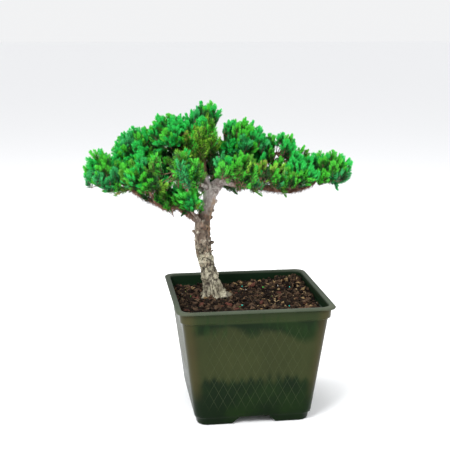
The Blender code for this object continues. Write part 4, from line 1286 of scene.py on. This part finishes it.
YELLOW_SPOTS = (
    (-33, 266, 6), (8, 216, 7), (2, 226, 5), (-57, 236, 9), (-43, 229, 6), (-42, 252, 10), (32, 222, 8),
    (20, 214, 5), (-72, 222, 5), (-76, 204, 6), (46, 205, 5),
)
# Spots where sprays mostly get the green of painted shade.
DARK_SPOTS = (
    (-60, 226, 8), (-52, 220, 7), (-46, 228, 4), (-67, 230, 8), (-70, 238, 6), (-62, 221, 6), (-47, 231, 4),
    (-31, 218, 6), (-25, 229, 6), (-13, 214, 5), (-57, 204, 4),
)
# Where sprays in the shadow of a mass above get the bright green, painted light.
PAINTED_LIGHT_SPOTS = ((-50, 203, 8),)
PIECE_LIMIT = 190000


def pick(chance, *steps):
    """The first name whose share is above the chance."""
    return next(name for share, name in steps if chance < share)


def family_of(place):
    """The green family of a spray: by spots, patches, and how deep in the crown it stands; deep sprays and
    those in dark spots mostly get the green of painted shade.
    """
    middle = place.foot + place.out * 8.0
    tip = place.foot + place.out * LENGTHS[place.kind] * place.scale
    depth = crown_depth(tip, CRISP_MELT)[0]
    chance = RANDOM.uniform()
    blue = in_spots(BLUE_SPOTS, middle)
    olive = in_spots(OLIVE_SPOTS, middle)
    patch = noise.noise(Vector(middle) * 0.07 + Vector((3.1, 0.7, 1.9)))
    if in_spots(DARK_SPOTS, middle) > 0 and -12 < middle[1] < 52 and chance < 0.9:
        return "shade"
    if place.kind != "fan":
        if depth < 0.70 and chance < 0.6:
            return "shade"
        if blue > 0 and chance < 0.45:
            return "blue"
        if in_spots(YELLOW_SPOTS, middle) > 0 and chance < 0.75:
            return "yellow"
        if olive > 0:
            return pick(chance, (0.48, "olive"), (0.88, "fresh"), (1, "shade"))
        return pick(chance, (0.15, "shade"), (0.40, "olive"), (0.60, "blue"), (1, "fresh"))
    if in_spots(PAINTED_LIGHT_SPOTS, middle) > 0 and chance < 0.65:
        return "bright"
    if depth < 0.86 and chance < (0.35 if olive > 0 else 0.60):
        return "shade"
    if blue > 0 and chance < 0.20 + 0.9 * blue:
        return "blue"
    if olive > 0 and chance < 0.25 + olive * 0.60:
        return pick(chance, (0.10, "yellow"), (0.50, "olive"), (1, "fresh"))
    if patch > 0.30 and chance < 0.35:
        return "blue"
    if patch < -0.12 or chance > 0.86:
        return pick(chance, (0.97, "fresh"), (1, "olive"))
    return "emerald"


bins = {name: [[], [], [], [], []] for name in GREENS}
for place in places:
    spray = LIBRARY[place.kind][int(RANDOM.integers(VARIANTS))]
    turn = np.array([place.out, place.side, np.cross(place.out, place.side)])
    roots = place.foot + (spray.roots * place.scale) @ turn
    columns = (roots, spray.ways @ turn, spray.axes @ turn, spray.lengths * place.scale, spray.widths)
    family = place.family or family_of(place)
    tan_ends = family in ("yellow", "olive") and RANDOM.uniform() < 0.08
    # Needles near the root go into the darker piece, painted shade.
    is_tip = spray.shares + RANDOM.uniform(-0.15, 0.15, len(roots)) > 0.42
    is_end = (spray.shares > 0.80) & (RANDOM.uniform(0, 1, len(roots)) < 0.6)
    end_name = "tan_tip" if tan_ends else family + "_tip"
    for name, chosen in (
            (family + "_tip", is_tip & ~is_end), (end_name, is_tip & is_end), (family + "_root", ~is_tip)):
        for store, column in zip(bins[name], columns):
            store.append(column[chosen])
    for start, end in (spray.rods * place.scale) @ turn + place.foot:
        twig_rods.append((start, end, 0.36, 0.20))
print("needles:", {name: sum(map(len, store[0])) for name, store in bins.items()})

# %% [markdown]
# A needle is an awl folded along its middle: a ridge from root to tip, and a lower edge
# on each side. Two faces show both the outline and the fold, which catches the light
# on one side only, as the grooved leaf does.

# %% Join the needles into pieces
BELLY_SHARE = 0.36
BELLY_DROP = 0.22


def needle_piece(name, roots, ways, axes, lengths, widths):
    """All needles of one colour as one piece."""
    width = widths[:, None]
    side = unit(np.cross(ways, axes) + 1e-6)
    back = np.cross(side, ways)
    tips = roots + ways * lengths[:, None]
    belly = roots + ways * (lengths * BELLY_SHARE)[:, None] - back * width * BELLY_DROP
    points = np.stack([roots, belly + side * width / 2, tips, belly - side * width / 2], axis=1)
    faces = np.array([(0, 1, 2), (0, 2, 3)]) + np.arange(len(roots))[:, None, None] * 4
    return new_piece(name, placed(points.reshape(-1, 3)), faces.reshape(-1, 3), False)


for name, store in bins.items():
    columns = [np.concatenate(rows) for rows in store]
    look = Finish(name + "_needles").paint(shine=0.35, base_color=GREENS[name], roughness=0.5)
    parts = math.ceil(len(columns[0]) * 2 / PIECE_LIMIT)
    for part, rows in enumerate(np.array_split(np.arange(len(columns[0])), parts)):
        piece = needle_piece("needles_%s_%d" % (name, part), *[column[rows] for column in columns])
        dress(piece, look)
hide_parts(*["foliage_" + mass.name for mass in MASSES])

# %% [markdown]
# ## Twigs
# The twigs carry the sprays from each mass's heart, and short woody axes run through
# every spray. They are red-brown, and show only where the foliage opens.

# %% Twigs as three-sided rods
def rod_piece(name, rods, sides=3):
    """Tapering rods as one piece."""
    starts, ends, *radii = [np.array(column) for column in zip(*rods)]
    side, other = cross_axes(unit(ends - starts))
    points = []
    for spots, radius in zip((starts, ends), radii):
        for angle in 2 * math.pi * np.arange(sides) / sides:
            points.append(spots + (side * math.cos(angle) + other * math.sin(angle)) * radius[:, None])
    faces = []
    for number in range(sides):
        ahead = (number + 1) % sides
        faces += [(number, ahead, sides + ahead), (number, sides + ahead, sides + number)]
    faces = np.array(faces) + np.arange(len(starts))[:, None, None] * 2 * sides
    return new_piece(name, placed(np.stack(points, axis=1).reshape(-1, 3)), faces.reshape(-1, 3))


for mass in MASSES:
    line = lines.get(mass.name, leader)
    twig_rods.append((line[-1, :3], heart_of(mass) + UP * 2.0, line[-1, 3], line[-1, 3] * 0.7))
wood = Finish("red_brown_twigs")
tone = wood.grain(wood.place(), 260.0, 3.0)
colour = wood.blend(tone.band(0.38, 0.62), (0.085, 0.038, 0.024), (0.240, 0.125, 0.078))
relief = wood.bump(tone, 0.0002, 0.5)
dress(rod_piece("twigs", twig_rods), wood.paint(base_color=colour, roughness=0.85, normal=relief))

# %% [markdown]
# Dead needles stay on the thinner wood of the long boughs as short brown bristles, mostly
# underneath.

# %% Dead needles on the long boughs
BARE_ABOVE = 3.0
BRISTLES_EACH = 6

bristles = []
for name in LONG_WAYS:
    line, _ = even_line(lines[name], 0.45)
    ways = unit(np.gradient(line[:, :3], axis=0))
    for row, way in zip(line, ways):
        for _ in range(0 if row[3] > BARE_ABOVE else BRISTLES_EACH):
            spoke = unit(np.cross(way, RANDOM.normal(0, 1, 3)))
            spoke = unit(spoke - UP * abs(spoke[2]) * RANDOM.uniform(0, 2.0))
            lean = unit(-way * RANDOM.uniform(0.2, 0.9) + spoke)
            bristles.append((row[:3] + spoke * row[3] * 0.85, lean, way, RANDOM.uniform(1.6, 4.8), 0.85))
dead = needle_piece("dead_needles", *map(np.array, zip(*bristles)))
dry = Finish("dead_brown")
tone = dry.grain(dry.place(), 420.0, 2.0)
colour = dry.blend(tone.band(0.40, 0.60), (0.080, 0.031, 0.018), (0.215, 0.105, 0.060))
dress(dead, dry.paint(base_color=colour, roughness=0.9))

# %% [markdown]
# ## Soil
# The pot is filled with composted bark: dark clods and chips, some red and tan ones, a
# few green and turquoise grains of slow feed and white specks. The body of soil follows
# the pot's inner walls. Its top follows the part's rule, level at the front left and
# heaped at the back right, and rises and falls with clods of two sizes. Each point keeps
# how deep it lies between the clods, and the finish paints shade there, nearly black.

# %% The body of soil
SOIL_HALF = 64.1
SOIL_ROUND = 8.6
SOIL_CELLS = 200
HEAP = 6.6
LARGE_CLOD = 7.5
SMALL_CLOD = 3.1
SKIRT = ((0.982, 97.8), (0.800, 8.7), (0.0, 8.7))


def soil_height(x, y):
    """The soil's surface without clods, by the part's rule."""
    side = min(1.0, max(0.0, (x + 30.0) / 95.0)) ** 1.3
    return GROUND - 0.2 + HEAP * side * min(1.0, max(0.0, (y + 45.0) / 105.0))


def clods(x, y):
    """Height of the clods and crumbs at a place."""
    spot = Vector((x, y, 3.0))
    large = noise.voronoi(spot / LARGE_CLOD + noise.noise_vector(spot * 0.3) * 0.25)[0][0]
    small = noise.voronoi(spot / SMALL_CLOD + Vector((7, 3, 1)))[0][0]
    level = noise.noise(spot * 0.055)
    return 4.8 * (0.46 - large) + 2.8 * (0.46 - small) + 1.6 * level + 0.6 * noise.noise(spot * 1.7)


def squared_disc(x, y):
    """Round the corners of a square grid like the pot's inside."""
    over = np.maximum(np.abs([x, y]) - (SOIL_HALF - SOIL_ROUND), 0)
    length = math.hypot(*over)
    shrink = over.max() / length if length else 1.0
    x = math.copysign(min(abs(x), SOIL_HALF - SOIL_ROUND) + over[0] * shrink, x)
    y = math.copysign(min(abs(y), SOIL_HALF - SOIL_ROUND) + over[1] * shrink, y)
    return x, y


ticks = np.linspace(-SOIL_HALF, SOIL_HALF, SOIL_CELLS + 1)
top = [squared_disc(x, y) for y in ticks for x in ticks]
lumps = np.array([clods(x, y) for x, y in top])
top = np.array([(x, y, soil_height(x, y) + lump) for (x, y), lump in zip(top, lumps)])
index = np.arange(len(top)).reshape(SOIL_CELLS + 1, -1)
quads = np.stack([index[:-1, :-1], index[:-1, 1:], index[1:, 1:], index[1:, :-1]], axis=-1).reshape(-1, 4)
border = np.concatenate([index[0, :-1], index[:-1, -1], index[-1, :0:-1], index[:0:-1, 0]])
rings = [top[border] * (1, 1, 0) * scale + (0, 0, height) for scale, height in SKIRT]
skirt = np.concatenate([border[None], len(top) + np.arange(3 * len(border)).reshape(3, -1)])
faces = np.concatenate([quads, quads_between(skirt[::-1])])
soil = new_piece("soil_body", placed(np.concatenate([top, *rings])), faces)
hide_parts("soil")
keep_number(soil, "hollow", np.concatenate([np.clip(0.50 - lumps / 3.2, 0, 1), np.ones(3 * len(border))]))

compost = Finish("bark_compost")
here = compost.place()
crumbs = compost.grain(here, 420.0, 4.0)
patches = compost.grain(here, 75.0, 2.0)
colour = compost.coats(
    compost.blend(crumbs.band(0.38, 0.62), (0.009, 0.0055, 0.0032), (0.070, 0.044, 0.025)),
    (patches.band(0.56, 0.70) * 0.35, (0.080, 0.034, 0.022)),
    # Painted shade between the clods, by the kept depth.
    (compost.kept("hollow").band(0.25, 0.62) * 0.96, (0.0028, 0.0018, 0.0012)),
)
relief = compost.bump(crumbs, 0.0009, 0.9)
dress(soil, compost.paint(shine=0.12, base_color=colour, roughness=0.96, normal=relief))

# %% [markdown]
# Chips are small rough lumps: the hull of a few random points. A ray dropped on the soil
# tells each one its height and tilt, so none floats. The chips and grains that show
# clearly in the photo lie where they are seen; the others are strewn.

# %% Lay the chips
soil_tree = BVHTree.FromObject(soil, bpy.context.evaluated_depsgraph_get())
WALL_OFF = 64.0
TRUNK_FOOT = (-27.3, 20.0)
TRUNK_OFF = 9.0
LIT = 2.3
LUMP_SHAPES = 10
LUMP_CORNERS = 9
ChipKind = namedtuple("ChipKind", "name count sizes slim base")
CHIP_KINDS = (
    ChipKind("dark", 420, (3.0, 9.0), 0.62, (0.008, 0.0048, 0.0030)),
    ChipKind("crumb", 1500, (1.0, 2.8), 0.75, (0.036, 0.0215, 0.0130)),
    ChipKind("brown", 260, (2.6, 9.5), 0.60, (0.048, 0.029, 0.0170)),
    ChipKind("red", 90, (3.0, 9.0), 0.50, (0.058, 0.021, 0.0145)),
    ChipKind("tan", 75, (2.0, 8.5), 0.60, (0.150, 0.098, 0.046)),
    ChipKind("fibre", 130, (3.5, 8.5), 0.09, (0.210, 0.150, 0.078)),
    ChipKind("moss_green", 26, (1.1, 2.6), 0.6, (0.040, 0.280, 0.040)),
    ChipKind("turquoise", 9, (1.5, 2.2), 0.9, (0.030, 0.430, 0.350)),
    ChipKind("white", 26, (0.6, 1.2), 0.7, (0.600, 0.600, 0.560)),
)
SEEN_PLACES = {
    "turquoise": ((-5.1, -14.6), (2.2, -16.9), (37.6, -21.4)),
    "moss_green": ((18.6, 6.3), (32.7, 20.0), (-6.6, 10.6), (25.5, 33.6)),
    "white": ((32.9, 11.2), (61.0, -26.3)),
    "tan": ((52.1, -4.7), (59.0, 17.8), (40.8, 46.4), (-2.3, 56.1), (34.0, 47.3), (56.0, 29.3)),
    "fibre": ((11.3, -2.9), (16.1, 3.2), (21.7, 2.4), (14.4, -6.7), (-13.2, 35.5), (-11.8, 24.5)),
    "red": ((-18.1, -18.3), (15.3, 42.4)),
}


def rough_lump(slim):
    """Points and triangles of one lump of length 1."""
    shape = bmesh.new()
    cloud = unit(RANDOM.normal(0, 1, (LUMP_CORNERS, 3))) * 0.5 * (1.0, slim + 0.15, slim)
    for point in cloud * RANDOM.uniform(0.75, 1.0, (LUMP_CORNERS, 1)):
        shape.verts.new(point)
    bmesh.ops.convex_hull(shape, input=shape.verts)
    bmesh.ops.triangulate(shape, faces=shape.faces)
    shape.verts.index_update()
    points = np.array([vert.co for vert in shape.verts])
    faces = np.array([[vert.index for vert in face.verts] for face in shape.faces])
    shape.free()
    return points, faces


def lay_chips(kind):
    """All chips of one kind, as arrays of points and faces."""
    library = [rough_lump(kind.slim) for _ in range(LUMP_SHAPES)]
    seen = SEEN_PLACES.get(kind.name, ())
    points, faces, first, laid = [], [], 0, 0
    while laid < kind.count:
        size = RANDOM.uniform(*kind.sizes)
        x, y = RANDOM.uniform(-1, 1, 2) * (WALL_OFF - 0.55 * size)
        if laid < len(seen):
            x, y = seen[laid]
            size = kind.sizes[1]
        at_left = kind.name in ("fibre", "tan") and x + y < RANDOM.uniform(-50, 12)
        if math.dist((x, y), TRUNK_FOOT) < TRUNK_OFF or at_left:
            continue
        hit, normal, _, _ = soil_tree.ray_cast(Vector(placed((x, y, POT_TALL + 20))), Vector((0, 0, -1)))
        if hit is None:
            continue
        turn = (normal + Vector((0, 0, 1))).to_track_quat("Z", "Y").to_matrix()
        turn = turn @ Matrix.Rotation(RANDOM.uniform(0, 6.28), 3, "Z")
        turn = turn @ Matrix.Rotation(RANDOM.normal(0, 0.5), 3, "X")
        lump, triangles = library[int(RANDOM.integers(len(library)))]
        lift = normal * (size * kind.slim * 0.20 + 0.05) * MM
        points.append(lump * size * MM @ np.array(turn).T + np.array(hit + lift))
        faces.append(triangles + first)
        first += len(lump)
        laid += 1
    return np.concatenate(points), np.concatenate(faces)


for kind in CHIP_KINDS:
    name = "chips_" + kind.name
    piece = new_piece(name, *lay_chips(kind), False)
    chip = Finish(name)
    flecks = chip.grain(chip.place(), 1100.0, 2.0).band(0.42, 0.68)
    colour = chip.blend(flecks, kind.base, tuple(channel * LIT for channel in kind.base))
    dress(piece, chip.paint(shine=0.15, base_color=colour, roughness=0.92))
